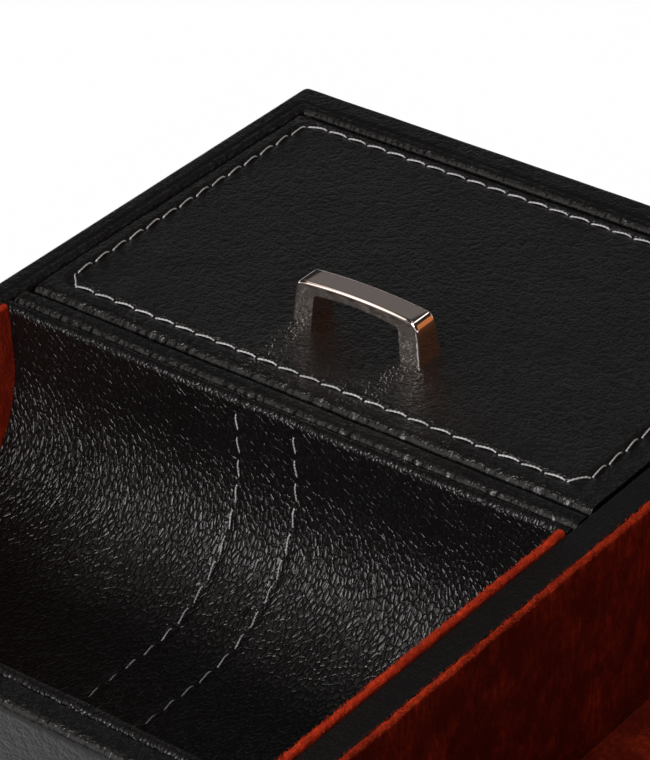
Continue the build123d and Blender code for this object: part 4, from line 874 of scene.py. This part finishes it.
def creased(bm, axis, depth, share, seed):
    """Gather the leather in small creases across an edge that runs along an axis."""
    bm.normal_update()
    moves = []
    for v in bm.verts:
        part = share(v)
        if part > 0:
            spot = v.co / (8 * MM)
            spot[axis] = v.co[axis] / (1.1 * MM)
            fold = 1.2 * noise.noise(spot + Vector((seed, seed, seed)))
            moves.append((v, v.normal * (depth * min(1.0, part * 2.0) * fold)))
    for v, move in moves:
        v.co += move
    return bm


class WINDER_OT_lid(bpy.types.Operator):
    """Wrap the lid in leather and line it underneath"""

    bl_idname = "winder.lid"
    bl_label = "Lid"

    def execute(self, context):
        sizes = context.scene.winder_sizes
        low, high = LID_LOW, LID_HIGH
        bm = cut_block(low, high, (320, 36, 0))
        rounded(bm, lambda e: at(e, 1, high.y) and on_either(e, 2, low, high), LEATHER_ROLL, 6)
        rounded(bm, lambda e: at(e, 2, high.z) and at(e, 1, low.y), LEATHER_ROLL, 9)
        rounded(bm, lambda e: at(e, 2, high.z) and on_either(e, 0, low, high), 1.1 * MM)
        widths = [w * MM for w in (-1.4, -0.8, -0.45, 0.0, 0.45, 0.8, 1.4)]
        score(bm, 1, [row + w for row in (STITCH_LOW[1], STITCH_HIGH[1]) for w in widths])
        score(bm, 0, [row + w for row in (STITCH_LOW[0], STITCH_HIGH[0]) for w in widths])
        cleaned(bm)
        creased(bm, 0, sizes.crease_depth, lambda v: front_roll(v, low.y, high.z), 11.0)
        for v in bm.verts:
            if v.co.z > high.z - 0.5 * MM:
                v.co.z -= 0.32 * MM * math.exp(-((row_distance(v.co) / (0.75 * MM)) ** 2))
        wobbled(bm, sizes.unevenness * 0.6, 9 * MM, lambda v: v.co.y < high.y - 6 * MM, seed=11.0)
        finished("lid_leather_cover", bm, "black_leather", "lid", ["lid_board"], finish="lid_leather")
        low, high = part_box("lid_lining")
        bm = cut_block(low, high, (40, 24, 0))
        rounded(bm, lambda e: at(e, 2, low.z) and boundary(e, low, high), 0.5 * MM, 3)
        wobbled(bm, 0.1 * MM, 3 * MM, lambda v: v.co.z < high.z - 0.1 * MM, seed=12.0)
        finished("lid_suede", bm, "red_suede", "lid", ["lid_lining"])
        return {"FINISHED"}


def row_distance(place):
    """How far a place on the lid is from its stitch row."""
    middle = [(a + b) / 2 for a, b in zip(STITCH_LOW, STITCH_HIGH)]
    corner = STITCH_CORNER * MM
    over = [abs(place[i] - middle[i]) - (STITCH_HIGH[i] - STITCH_LOW[i]) / 2 + corner for i in (0, 1)]
    return abs(math.hypot(max(0.0, over[0]), max(0.0, over[1])) + min(0.0, max(over)) - corner)


def boundary(edge, low, high):
    """Whether an edge lies on a side of the block."""
    return on_either(edge, 0, low, high) or on_either(edge, 1, low, high)


class WINDER_OT_trough(bpy.types.Operator):
    """Bend the leather trough with its rolled lips"""

    bl_idname = "winder.trough"
    bl_label = "Trough"

    def execute(self, context):
        low, high = TROUGH_LOW, TROUGH_HIGH
        wall = INSERT_WALL
        lip = wall / 2
        bm = bmesh.new()
        # The section starts as one straight row of points along the front lip.
        width = high.x - low.x
        columns = 96
        across = [low.x + width * column / columns for column in range(columns + 1)]
        row = [bm.verts.new((x, low.y + wall, high.z - lip)) for x in across]
        edges = [bm.edges.new(pair) for pair in zip(row, row[1:])]

        def rows_of(grown):
            return [g for g in grown if isinstance(g, bmesh.types.BMEdge) and runs_along(g, 0)]

        def carry(edges, move, steps):
            for _ in range(steps):
                grown = bmesh.ops.extrude_edge_only(bm, edges=edges)["geom"]
                edges = rows_of(grown)
                verts = {v for e in edges for v in e.verts}
                bmesh.ops.translate(bm, vec=Vector(move) / steps, verts=list(verts))
            return edges

        def swing(edges, centre, degrees, steps):
            grown = bmesh.ops.spin(
                bm, geom=edges, cent=centre, axis=(1, 0, 0), angle=math.radians(degrees), steps=steps,
                dvec=(0, 0, 0), use_duplicate=False,
            )["geom_last"]
            return rows_of(grown)

        radius = TROUGH_RADIUS
        floor = low.z + wall
        straight = high.z - lip - floor - radius
        level = high.y - low.y - 2 * wall - 2 * radius
        edges = carry(edges, (0, 0, -straight), 5)
        edges = swing(edges, (0, low.y + wall + radius, floor + radius), 90, 30)
        edges = carry(edges, (0, level, 0), 10)
        edges = swing(edges, (0, high.y - wall - radius, floor + radius), 90, 30)
        edges = carry(edges, (0, 0, straight), 5)
        edges = swing(edges, (0, high.y - lip, high.z - lip), -180, 10)
        edges = carry(edges, (0, 0, -straight), 3)
        edges = swing(edges, (0, high.y - wall - radius, floor + radius), -90, 12)
        edges = carry(edges, (0, -level, 0), 2)
        edges = swing(edges, (0, low.y + wall + radius, floor + radius), -90, 12)
        edges = carry(edges, (0, 0, straight), 3)
        swing(edges, (0, low.y + lip, high.z - lip), -180, 10)
        bmesh.ops.remove_doubles(bm, verts=bm.verts, dist=0.02 * MM)
        for x in (low.x, high.x):
            end = [e for e in bm.edges if e.is_boundary and at(e, 0, x)]
            bmesh.ops.triangle_fill(bm, edges=end, use_beauty=True)
        bmesh.ops.recalc_face_normals(bm, faces=bm.faces)
        sheet = bm.loops.layers.uv.new("hide")
        middle_y, middle_z = (low.y + high.y) / 2, floor + radius
        for face in bm.faces:
            for loop in face.loops:
                place = loop.vert.co
                if place.z > middle_z:
                    run = radius * math.pi / 2 + place.z - middle_z
                else:
                    reach = max(0.0, abs(place.y - middle_y) - level / 2)
                    run = radius * math.atan2(reach, middle_z - place.z)
                side = 1 if place.y > middle_y else -1
                loop[sheet].uv = (place.x, side * (run + min(level / 2, abs(place.y - middle_y))))

        def on_sheet(v):
            clear_x = low.x + 1 * MM < v.co.x < high.x - 1 * MM
            clear_y = low.y + wall * 0.7 < v.co.y < high.y - wall * 0.7
            return clear_x and clear_y and v.co.z > floor - 0.1 * MM

        wobbled(bm, 0.35 * MM, 16 * MM, on_sheet, seed=21.0)
        wobbled(bm, 0.14 * MM, 3.5 * MM, lambda v: v.co.z > high.z - 3 * MM, seed=22.0)
        finished("trough_leather_bend", bm, "trough_leather", "case", ["trough_insert"], sharp=50)
        return {"FINISHED"}


class WINDER_OT_stitching(bpy.types.Operator):
    """Sew the lid's border and the trough's two rows"""

    bl_idname = "winder.stitching"
    bl_label = "Stitching"

    def execute(self, context):
        sizes = context.scene.winder_sizes
        one = stitch_mesh(sizes.stitch_pitch * 0.85, sizes.thread, 0.14)
        bm = bmesh.new()
        top = LID_HIGH.z - 0.10 * MM
        spots = around(STITCH_LOW, STITCH_HIGH, STITCH_CORNER * MM, sizes.stitch_pitch, top)
        stitch_row(bm, one, spots, 5)
        look = {"sharp": 80, "weighted": False}
        finished("lid_stitching", bm, "black_leather", "lid", finish="waxed_thread", **look)
        one = stitch_mesh(sizes.stitch_pitch * 0.72, sizes.thread * 0.85, 0.2)
        bm = bmesh.new()
        for seed, x in enumerate(TROUGH_ROWS):
            _, _, total = trough_spot(0)
            count = round(total / (sizes.stitch_pitch * 1.03))
            spots = []
            for index in range(count + 1):
                share = ROW_END + (1 - 2 * ROW_END) * index / count
                spot, up, _ = trough_spot(share)
                spots.append((Vector((x, spot.y, spot.z)) + up * 0.02 * MM, up))
            stitch_row(bm, one, spots, 50 + seed)
        finished("trough_stitching", bm, "trough_leather", "case", finish="worn_thread", **look)
        return {"FINISHED"}


def raised_nap(bm, low, high, axis, seed):
    """Short ragged tufts standing along the top of a suede board."""
    dice = random.Random(seed)
    other = 1 - axis
    length = high[axis] - low[axis]
    total = int(length / MM * TUFTS_PER_MM)
    for batch in range(0, total, TUFT_BATCH):
        tufts = bmesh.new()
        for _ in range(min(TUFT_BATCH, total - batch)):
            spot = Vector((0.0, 0.0, high.z - 0.10 * MM))
            spot[axis] = low[axis] + length * dice.random()
            share = dice.uniform(0.02, 0.98)
            spot[other] = low[other] + (high[other] - low[other]) * share
            lean = Vector((0.0, 0.0, 1.0))
            lean[other] = 2.2 * (share - 0.5) + dice.uniform(-0.5, 0.5)
            lean[axis] = dice.uniform(-0.9, 0.9)
            spot.z -= 0.55 * MM * (2 * abs(share - 0.5)) ** 3
            turn = lean.to_track_quat("Z", "Y").to_matrix().to_4x4()
            bmesh.ops.create_cone(
                tufts, cap_ends=True, segments=3, radius1=0.08 * MM, radius2=0.02 * MM,
                depth=dice.uniform(0.5, 1.1) * MM, matrix=Matrix.Translation(spot) @ turn,
            )
        clump = mesh_of("nap_clump", tufts)
        bm.from_mesh(clump)
        bpy.data.meshes.remove(clump)


def ragged_top(bm, high, seed):
    """Soften the uppermost millimetre of a suede board."""
    wobbled(bm, 0.22 * MM, 1.3 * MM, lambda v: v.co.z > high.z - RAGGED_DEPTH, seed=seed)


def suede_board(name, low, high, along, cuts, replaces, radius, seed):
    """A thin suede covered board with soft, slightly ragged top edges."""
    low, high = Vector(low), Vector(high)
    counts = [0, 0, cuts[1]]
    counts[along] = cuts[0]
    bm = cut_block(low, high, counts)
    rounded(bm, along_top(high, along), radius, 4)
    ragged_top(bm, high, seed)
    wobbled(bm, 0.12 * MM, 4.0 * MM, lambda v: low.z < v.co.z <= high.z - RAGGED_DEPTH, seed=seed + 0.5)
    raised_nap(bm, low, high, along, int(seed))
    finished(name, bm, "red_suede", "case", replaces, sharp=70, weighted=False)


class WINDER_OT_linings(bpy.types.Operator):
    """Line the tray and the lidded box with suede"""

    bl_idname = "winder.linings"
    bl_label = "Suede linings"

    def execute(self, context):
        radius = context.scene.winder_sizes.suede_round
        look = {"sharp": 70, "weighted": False}
        for side in ("left", "right"):
            node = f"trough_lining_{side}"
            low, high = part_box(node)
            bm = cut_block(low, high, (0, 110, 24))
            rounded(
                bm, lambda e: runs_along(e, 0) and at(e, 2, low.z) and on_either(e, 1, low, high),
                TROUGH_RADIUS - 0.2 * MM, 24,
            )
            rounded(bm, along_top(high, 1), radius, 4)
            cleaned(bm)
            ragged_top(bm, high, 31.0)
            raised_nap(bm, low, high, 1, 31)
            # The trough linings take the lit copy of the suede, a painted highlight.
            finished(f"{node}_suede", bm, "red_suede", "case", [node], finish="lit_suede", **look)
        low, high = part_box("bay_side_linings")
        end_low, end_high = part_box("bay_end_linings")
        thick = end_low.x - low.x
        sides, ends = ["bay_side_linings"], ["bay_end_linings"]
        for name, low_corner, high_corner, along, cuts, replaces, seed in (
            ("left", low, (low.x + thick, high.y, high.z), 1, 200, sides, 33.0),
            ("right", (high.x - thick, low.y, low.z), high, 1, 200, [], 34.0),
            ("front", end_low, (end_high.x, end_low.y + thick, end_high.z), 0, 150, ends, 35.0),
            ("back", (end_low.x, end_high.y - thick, end_low.z), end_high, 0, 150, [], 36.0),
        ):
            name = f"bay_{name}_suede"
            suede_board(name, low_corner, high_corner, along, (cuts, 20), replaces, radius, seed)
        for node in ("bay_floor_pad", "box_floor_pad"):
            low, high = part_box(node)
            bm = cut_block(low, high, (50, 64, 0))
            rounded(bm, lambda e: at(e, 2, high.z) and boundary(e, low, high), 0.9 * MM, 4)
            wobbled(bm, 0.25 * MM, 9 * MM, lambda v: v.co.z > high.z - 0.2 * MM, seed=37.0)
            # The floor pads take the shaded copy of the suede, painted shade.
            pad = finished(f"{node}_suede", bm, "red_suede", "case", [node], finish="floor_suede", **look)
        low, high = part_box("box_liner")
        walls = (
            (low, (low.x + thick, high.y, high.z), 1, ["box_liner"]),
            ((high.x - thick, low.y, low.z), high, 1, []),
            ((low.x + thick, low.y, low.z), (high.x - thick, low.y + thick, high.z), 0, []),
            ((low.x + thick, high.y - thick, low.z), (high.x - thick, high.y, high.z), 0, []),
        )
        for number, (low_corner, high_corner, along, replaces) in enumerate(walls):
            suede_board(
                f"box_suede_{number + 1}", low_corner, high_corner, along, (100, 14), replaces,
                radius * 0.8, 41.0 + number,
            )
        return {"FINISHED"}


class WINDER_OT_handles(bpy.types.Operator):
    """Make the polished bail handles of the lid and the door"""

    bl_idname = "winder.handles"
    bl_label = "Bail handles"

    def execute(self, context):
        low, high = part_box("lid_handle")
        seats = {"lid": Matrix.Translation(((low.x + high.x) / 2, (low.y + high.y) / 2, low.z))}
        low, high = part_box("door_handle")
        along_z = Matrix(((0, -1, 0), (0, 0, -1), (1, 0, 0))).to_4x4()
        seats["door"] = Matrix.Translation(((low.x + high.x) / 2, high.y, (low.z + high.z) / 2)) @ along_z
        for body, seat in seats.items():
            bm = bail()
            bmesh.ops.transform(bm, matrix=seat, verts=bm.verts)
            finished(f"{body}_bail", bm, "polished_metal", body, [f"{body}_handle"], sharp=50)
        dressed(["lid_handle_screws", "door_handle_screws", "lid_pins"], "steel")
        return {"FINISHED"}


def bail():
    """A splayed bail with an arched bar, standing on the origin along X."""
    base, top, shoulder, arch = 28.6 * MM, 24.6 * MM, 8.3 * MM, 9.0 * MM
    gap_base, gap_top, bar = 19.9 * MM, 18.7 * MM, 2.0 * MM
    width, top_width = 6.3 * MM, 4.9 * MM
    bm = bmesh.new()
    bend = ((0, 0), (0.42, 0.22), (0.80, 0.62), (1.10, 1.15), (1.32, 1.85), (1.48, 2.75), (1.60, 3.9))
    right = [(top / 2 + out * MM, shoulder - down * MM) for out, down in bend]
    right += [(base / 2, 0), (gap_base / 2, 0), (gap_top / 2, shoulder - bar)]
    outline = right + [(-x, z) for x, z in reversed(right)]
    points = [bm.verts.new((x, -width / 2, z)) for x, z in outline]
    for index in range(len(points)):
        bm.edges.new((points[index], points[(index + 1) % len(points)]))
    level = [e for e in bm.edges if runs_along(e, 0) and e.verts[0].co.z > 0]
    bmesh.ops.subdivide_edges(bm, edges=level, cuts=15)
    for v in bm.verts:
        if v.co.z >= shoulder - bar - 1e-7:
            half = top / 2 if v.co.z > shoulder - bar / 2 else gap_top / 2
            v.co.z += (arch - shoulder) * max(0.0, 1 - (v.co.x / half) ** 2)
    bmesh.ops.contextual_create(bm, geom=list(bm.edges))
    inner = [v for v in bm.verts if v.co.z > 1 * MM and (abs(abs(v.co.x) - gap_top / 2) < TOUCHING)]
    bmesh.ops.bevel(
        bm, geom=inner, offset=0.7 * MM, offset_type="OFFSET", segments=4, profile=0.5,
        affect="VERTICES", material=-1,
    )
    grown = bmesh.ops.extrude_face_region(bm, geom=list(bm.faces))["geom"]
    bmesh.ops.translate(bm, vec=(0, width, 0), verts=points_of(grown))
    for v in bm.verts:
        share = v.co.z / arch
        v.co.y *= 1 - share * (1 - top_width / width)
    bmesh.ops.recalc_face_normals(bm, faces=bm.faces)

    def outside(e):
        if runs_along(e, 1) or abs(e.verts[0].co.y - e.verts[1].co.y) > 0.5 * MM:
            return False
        middle = (e.verts[0].co + e.verts[1].co) / 2
        if middle.z < TOUCHING:
            return False
        return abs(middle.x) > gap_base / 2 + 0.2 * MM or middle.z > arch - bar + 0.2 * MM

    rounded(bm, outside, 0.55 * MM, 4)
    return bm


class WINDER_OT_door(bpy.types.Operator):
    """Finish the glass door, its catch and its pins"""

    bl_idname = "winder.door"
    bl_label = "Glass door"

    def execute(self, context):
        dressed(["door_frame"], "black_leather")
        dressed(["door_glass"], "clear_glass")
        dressed(["glass_slip"], "black_plastic")
        dressed(["door_magnet", "catch_block", "door_pins"], "steel")
        return {"FINISHED"}


class WINDER_OT_cups(bpy.types.Operator):
    """Line the turning cups with suede and finish the drive behind them"""

    bl_idname = "winder.cups"
    bl_label = "Cups and drive"

    def execute(self, context):
        for side in ("left", "right"):
            low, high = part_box(f"cup_lining_{side}")
            centre = (low + high) / 2
            radius = (high.x - low.x) / 2
            thick = 1.5 * MM
            bm = bmesh.new()
            outline = [
                (0, high.y), (radius, high.y), (radius, low.y), (radius - thick, low.y),
                (radius - thick, high.y - thick), (0, high.y - thick),
            ]
            points = [bm.verts.new((centre.x + x, y, centre.z)) for x, y in outline]
            chain = [bm.edges.new(pair) for pair in zip(points, points[1:])]
            long_edges = [e for e in chain if e.calc_length() > 5 * MM]
            bmesh.ops.subdivide_edges(bm, edges=long_edges, cuts=12)
            bmesh.ops.spin(
                bm, geom=list(bm.verts) + list(bm.edges), cent=centre, axis=(0, 1, 0),
                angle=2 * math.pi, steps=96, dvec=(0, 0, 0), use_merge=True, use_duplicate=False,
            )
            bmesh.ops.remove_doubles(bm, verts=bm.verts, dist=0.01 * MM)
            bmesh.ops.recalc_face_normals(bm, faces=bm.faces)

            def ringwise(edge):
                reach = [math.hypot(v.co.x - centre.x, v.co.z - centre.z) for v in edge.verts]
                return at(edge, 1, low.y) and abs(reach[0] - reach[1]) < TOUCHING

            rounded(bm, ringwise, 0.5 * MM, 3)
            wobbled(bm, 0.18 * MM, 5 * MM, seed=41.0)
            finished(f"cup_suede_{side}", bm, "red_suede", f"rotor_{side}", [f"cup_lining_{side}"], sharp=50)
            dressed([f"rotor_cup_{side}"], "black_plastic")
            dressed([f"rotor_gear_{side}"], "gear_nylon")
            dressed([f"motor_pinion_{side}"], "brass_pinion")
            dressed([f"rotor_axle_{side}"], "steel")
            dressed([f"motor_{side}"], "motor_can")
        dressed(["trim_rings"], "polished_metal")
        dressed(["motor_board"], "board_steel")
        dressed(["axle_clips", "motor_screws"], "steel")
        return {"FINISHED"}


def stuffed(name, node, body, slot_name, voxel, shrink, pressure, cap, seed):
    """A stuffed piece blown up by cloth from a remeshed copy of its CAD node."""
    bm = bmesh.new()
    bm.from_mesh(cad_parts[node].data)
    bmesh.ops.remove_doubles(bm, verts=bm.verts, dist=0.005 * MM)
    low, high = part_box(node)
    for verts in loose_parts(bm):
        middle = sum((v.co for v in verts), Vector()) / len(verts)
        for v in verts:
            v.co = middle + (v.co - middle) * shrink
    pad = placed(name, mesh_of(name, bm))
    grid = pad.modifiers.new("grid", "REMESH")
    grid.mode = "VOXEL"
    grid.voxel_size = voxel
    settle(pad)
    before = [v.co.copy() for v in pad.data.vertices]
    cloth = pad.modifiers.new("cloth", "CLOTH")
    cloth.settings.use_pressure = True
    cloth.settings.uniform_pressure_force = pressure
    cloth.settings.effector_weights.gravity = 0
    cloth.settings.mass = 0.15
    for number in range(1, CLOTH_FRAMES + 1):
        bpy.context.scene.frame_set(number)
    settle(pad)
    bpy.context.scene.frame_set(1)
    for v, origin in zip(pad.data.vertices, before):
        move = v.co - origin
        if move.length > cap:
            v.co = origin + move * (cap / move.length)
    bm = bmesh.new()
    bm.from_mesh(pad.data)
    bmesh.ops.smooth_vert(bm, verts=bm.verts, factor=0.5, use_axis_x=True, use_axis_y=True, use_axis_z=True)
    for v in bm.verts:
        v.co = Vector([min(max(v.co[a], low[a]), high[a]) for a in range(3)])
    bpy.data.objects.remove(pad)
    wobbled(bm, 0.1 * MM, 4 * MM, seed=seed)
    piece = finished(name, bm, slot_name, body, [node], sharp=180, weighted=False)
    softer = piece.modifiers.new("softer", "SUBSURF")
    softer.levels = softer.render_levels = 1
    settle(piece)
    return piece


def loose_parts(bm):
    """The separate shells of a bmesh, as lists of their points."""
    left, parts = dict.fromkeys(bm.verts), []
    while left:
        pile, part = [left.popitem()[0]], []
        while pile:
            v = pile.pop()
            part.append(v)
            for e in v.link_edges:
                other = e.other_vert(v)
                if other in left:
                    del left[other]
                    pile.append(other)
        parts.append(part)
    return parts


def settle(piece):
    """Make a piece's modifiers part of its mesh."""
    bpy.context.view_layer.update()
    graph = bpy.context.evaluated_depsgraph_get()
    mesh = bpy.data.meshes.new_from_object(piece.evaluated_get(graph))
    piece.modifiers.clear()
    piece.data = mesh


class WINDER_OT_cushions(bpy.types.Operator):
    """Stuff the watch cushions and the cheeks that grip them"""

    bl_idname = "winder.cushions"
    bl_label = "Watch cushions"

    def execute(self, context):
        for side in ("left", "right"):
            stuffed(
                f"watch_cushion_{side}_stuffed", f"watch_cushion_{side}", f"cushion_{side}", "cushion_suede",
                voxel=2.2 * MM, shrink=0.95, pressure=4.0, cap=4 * MM, seed=51.0,
            )
            stuffed(
                f"cheeks_{side}_stuffed", f"cushion_cheeks_{side}", f"rotor_{side}", "red_suede",
                voxel=1.6 * MM, shrink=0.96, pressure=2.0, cap=1 * MM, seed=53.0,
            )
        return {"FINISHED"}


class WINDER_OT_controls(bpy.types.Operator):
    """Finish the rear cover, the controls and the feet"""

    bl_idname = "winder.controls"
    bl_label = "Controls and feet"

    def execute(self, context):
        dressed(["rear_cover", "switch_body", "power_rocker", "dc_inlet"], "black_plastic")
        dressed(["program_knob_left", "program_knob_right"], "black_plastic")
        dressed(["rear_cover_screws", "foot_screws"], "steel")
        dressed(["control_board"], "circuit_board")
        dressed(["feet"], "foot_rubber")
        return {"FINISHED"}


class WINDER_OT_stage(bpy.types.Operator):
    """Set the pale floor, the studio light and the camera"""

    bl_idname = "winder.stage"
    bl_label = "Stage"

    def execute(self, context):
        scene = context.scene
        finish = Finish("pale_stage")
        kinds = ("Is Camera Ray", "Is Glossy Ray", "Is Transmission Ray")
        camera_ray, glossy_ray, clear_ray = (finish.node("ShaderNodeLightPath", out=kind) for kind in kinds)
        seen = camera_ray.most(glossy_ray).most(clear_ray)
        tone = finish.cloud(finish.place(), 400.0, 2.0)
        pale = finish.blend(tone, (0.86, 0.86, 0.86), (0.9, 0.9, 0.9))
        paint = finish.node("ShaderNodeBsdfDiffuse", sockets={"Color": pale})
        glow = finish.node("ShaderNodeEmission", sockets={"Color": (1, 1, 1, 1), "Strength": 1.0})
        # Painted shade: the floor's glow is weaker within about 0.3 m of the object, so a grey pool is
        # painted around it, where its real shadow also shows; farther off the floor glows white.
        x, y, _ = finish.split(finish.place())
        reach = ((x / 330.0) * (x / 330.0) + (y / 290.0) * (y / 290.0)) ** 0.5
        share = 0.35 + 0.64 * reach.eased(0.35, 1.0)
        finish.show(finish.node("ShaderNodeMixShader", sockets={0: seen * share, 1: paint, 2: glow}))
        bm = bmesh.new()
        bmesh.ops.create_circle(bm, segments=96, radius=3.5, cap_ends=True)
        rim = [e for e in bm.edges if e.is_boundary]
        grown = bmesh.ops.extrude_edge_only(bm, edges=rim)["geom"]
        bmesh.ops.translate(bm, vec=(0, 0, 0.4), verts=points_of(grown))
        floor = placed("stage_floor", mesh_of("stage_floor", bm))
        floor.data.materials.append(finish.material)

        world = bpy.data.worlds.new("studio_air")
        world.use_nodes = True
        air = world.node_tree.nodes["Background"].inputs
        air["Color"].default_value = (0.97, 1.0, 1.0, 1.0)
        air["Strength"].default_value = 0.02
        scene.world = world

        warm = Finish("warm_board")
        orange = {"Color": (1.0, 0.36, 0.12, 1.0), "Strength": 0.5}
        warm.show(warm.node("ShaderNodeEmission", sockets=orange))
        bm = bmesh.new()
        bmesh.ops.create_grid(bm, x_segments=4, y_segments=3, size=0.5)
        turn = Matrix.Rotation(math.radians(45), 4, "Z") @ Matrix.Rotation(math.radians(90), 4, "Y")
        stretch = Matrix.Diagonal((0.42, 0.60, 1.0, 1.0))
        place = Matrix.Translation((0.45, 0.48, 0.23)) @ turn @ stretch
        bmesh.ops.transform(bm, matrix=place, verts=bm.verts)
        board = placed("warm_board", mesh_of("warm_board", bm))
        board.data.materials.append(warm.material)
        board.visible_camera = False
        board.visible_shadow = False

        target = Vector((-0.065, -0.02, 0.16))
        for name, towards, distance, size, radiance, colour in (
            ("key_box", (0.05, -0.85, 0.50), 1.0, (0.42, 0.66), 18.0, (1.0, 0.97, 0.96)),
            ("left_card", (-0.543, -0.64, 0.52), 1.3, (0.30, 0.80), 2.4, (1.0, 0.95, 0.90)),
            ("high_card", (-0.543, -0.15, 0.826), 1.2, (0.60, 0.50), 0.95, (1.0, 0.92, 0.87)),
            ("back_card", (-0.543, 0.639, 0.545), 1.3, (1.1, 0.50), 0.115, (1.0, 0.95, 0.93)),
            ("edge_card", (0.20, 0.64, 0.75), 1.2, (0.35, 0.30), 1.6, (1.0, 0.92, 0.86)),
            ("overhead", (0.2, 0.1, 1.0), 1.2, (0.8, 0.8), 0.5, (1.0, 1.0, 1.0)),
        ):
            lamp = bpy.data.lights.new(name, "AREA")
            lamp.shape = "RECTANGLE"
            lamp.size, lamp.size_y = size
            lamp.energy = radiance * math.pi * size[0] * size[1]
            lamp.color = colour
            holder = placed(name, lamp)
            back = Vector(towards).normalized()
            holder.location = target + back * distance
            holder.rotation_euler = back.to_track_quat("Z", "Y").to_euler()
            holder.visible_camera = False

        lens = bpy.data.cameras.new("photo_camera")
        lens.lens = 174.97
        lens.sensor_width = 36.0
        lens.clip_start = 0.01
        camera = placed("photo_camera", lens)
        azimuth, elevation, roll = (math.radians(a) for a in (40.36, 33.00, -3.18))
        level = math.cos(elevation)
        back = Vector((math.sin(azimuth) * level, -math.cos(azimuth) * level, math.sin(elevation)))
        right = Vector((math.cos(azimuth), math.sin(azimuth), 0.0))
        up = back.cross(right)
        rolled_right = right * math.cos(roll) + up * math.sin(roll)
        rolled_up = up * math.cos(roll) - right * math.sin(roll)
        turn = Matrix((rolled_right, rolled_up, back)).transposed().to_4x4()
        camera.matrix_world = Matrix.Translation((0.28298, -0.39870, 0.52151)) @ turn
        scene.camera = camera
        scene.view_settings.view_transform = "Standard"
        return {"FINISHED"}


class WINDER_PT_sidebar(bpy.types.Panel):
    """The dress's steps and settings"""

    bl_idname = "WINDER_PT_sidebar"
    bl_label = "Watch winder"
    bl_space_type = "VIEW_3D"
    bl_region_type = "UI"
    bl_category = "Watch winder"

    def draw(self, context):
        for group in (context.scene.winder_sizes, context.scene.winder_colours):
            for key in group.__annotations__:
                self.layout.prop(group, key)
        for step in STEPS:
            self.layout.operator(step.bl_idname)


STEPS = (
    WINDER_OT_boards,
    WINDER_OT_lid,
    WINDER_OT_trough,
    WINDER_OT_linings,
    WINDER_OT_stitching,
    WINDER_OT_handles,
    WINDER_OT_door,
    WINDER_OT_cups,
    WINDER_OT_cushions,
    WINDER_OT_controls,
    WINDER_OT_stage,
)
CLASSES = (WinderSizes, WinderColours, *STEPS, WINDER_PT_sidebar)


def register():
    for kind in CLASSES:
        bpy.utils.register_class(kind)
    bpy.types.Scene.winder_sizes = bpy.props.PointerProperty(type=WinderSizes)
    bpy.types.Scene.winder_colours = bpy.props.PointerProperty(type=WinderColours)


def unregister():
    del bpy.types.Scene.winder_colours
    del bpy.types.Scene.winder_sizes
    for kind in reversed(CLASSES):
        bpy.utils.unregister_class(kind)


def main():
    register()
    bpy.ops.winder.boards()
    bpy.ops.winder.lid()
    bpy.ops.winder.trough()
    bpy.ops.winder.linings()
    bpy.ops.winder.stitching()
    bpy.ops.winder.handles()
    bpy.ops.winder.door()
    bpy.ops.winder.cups()
    bpy.ops.winder.cushions()
    bpy.ops.winder.controls()
    bpy.ops.winder.stage()


if __name__ == "__main__":
    main()
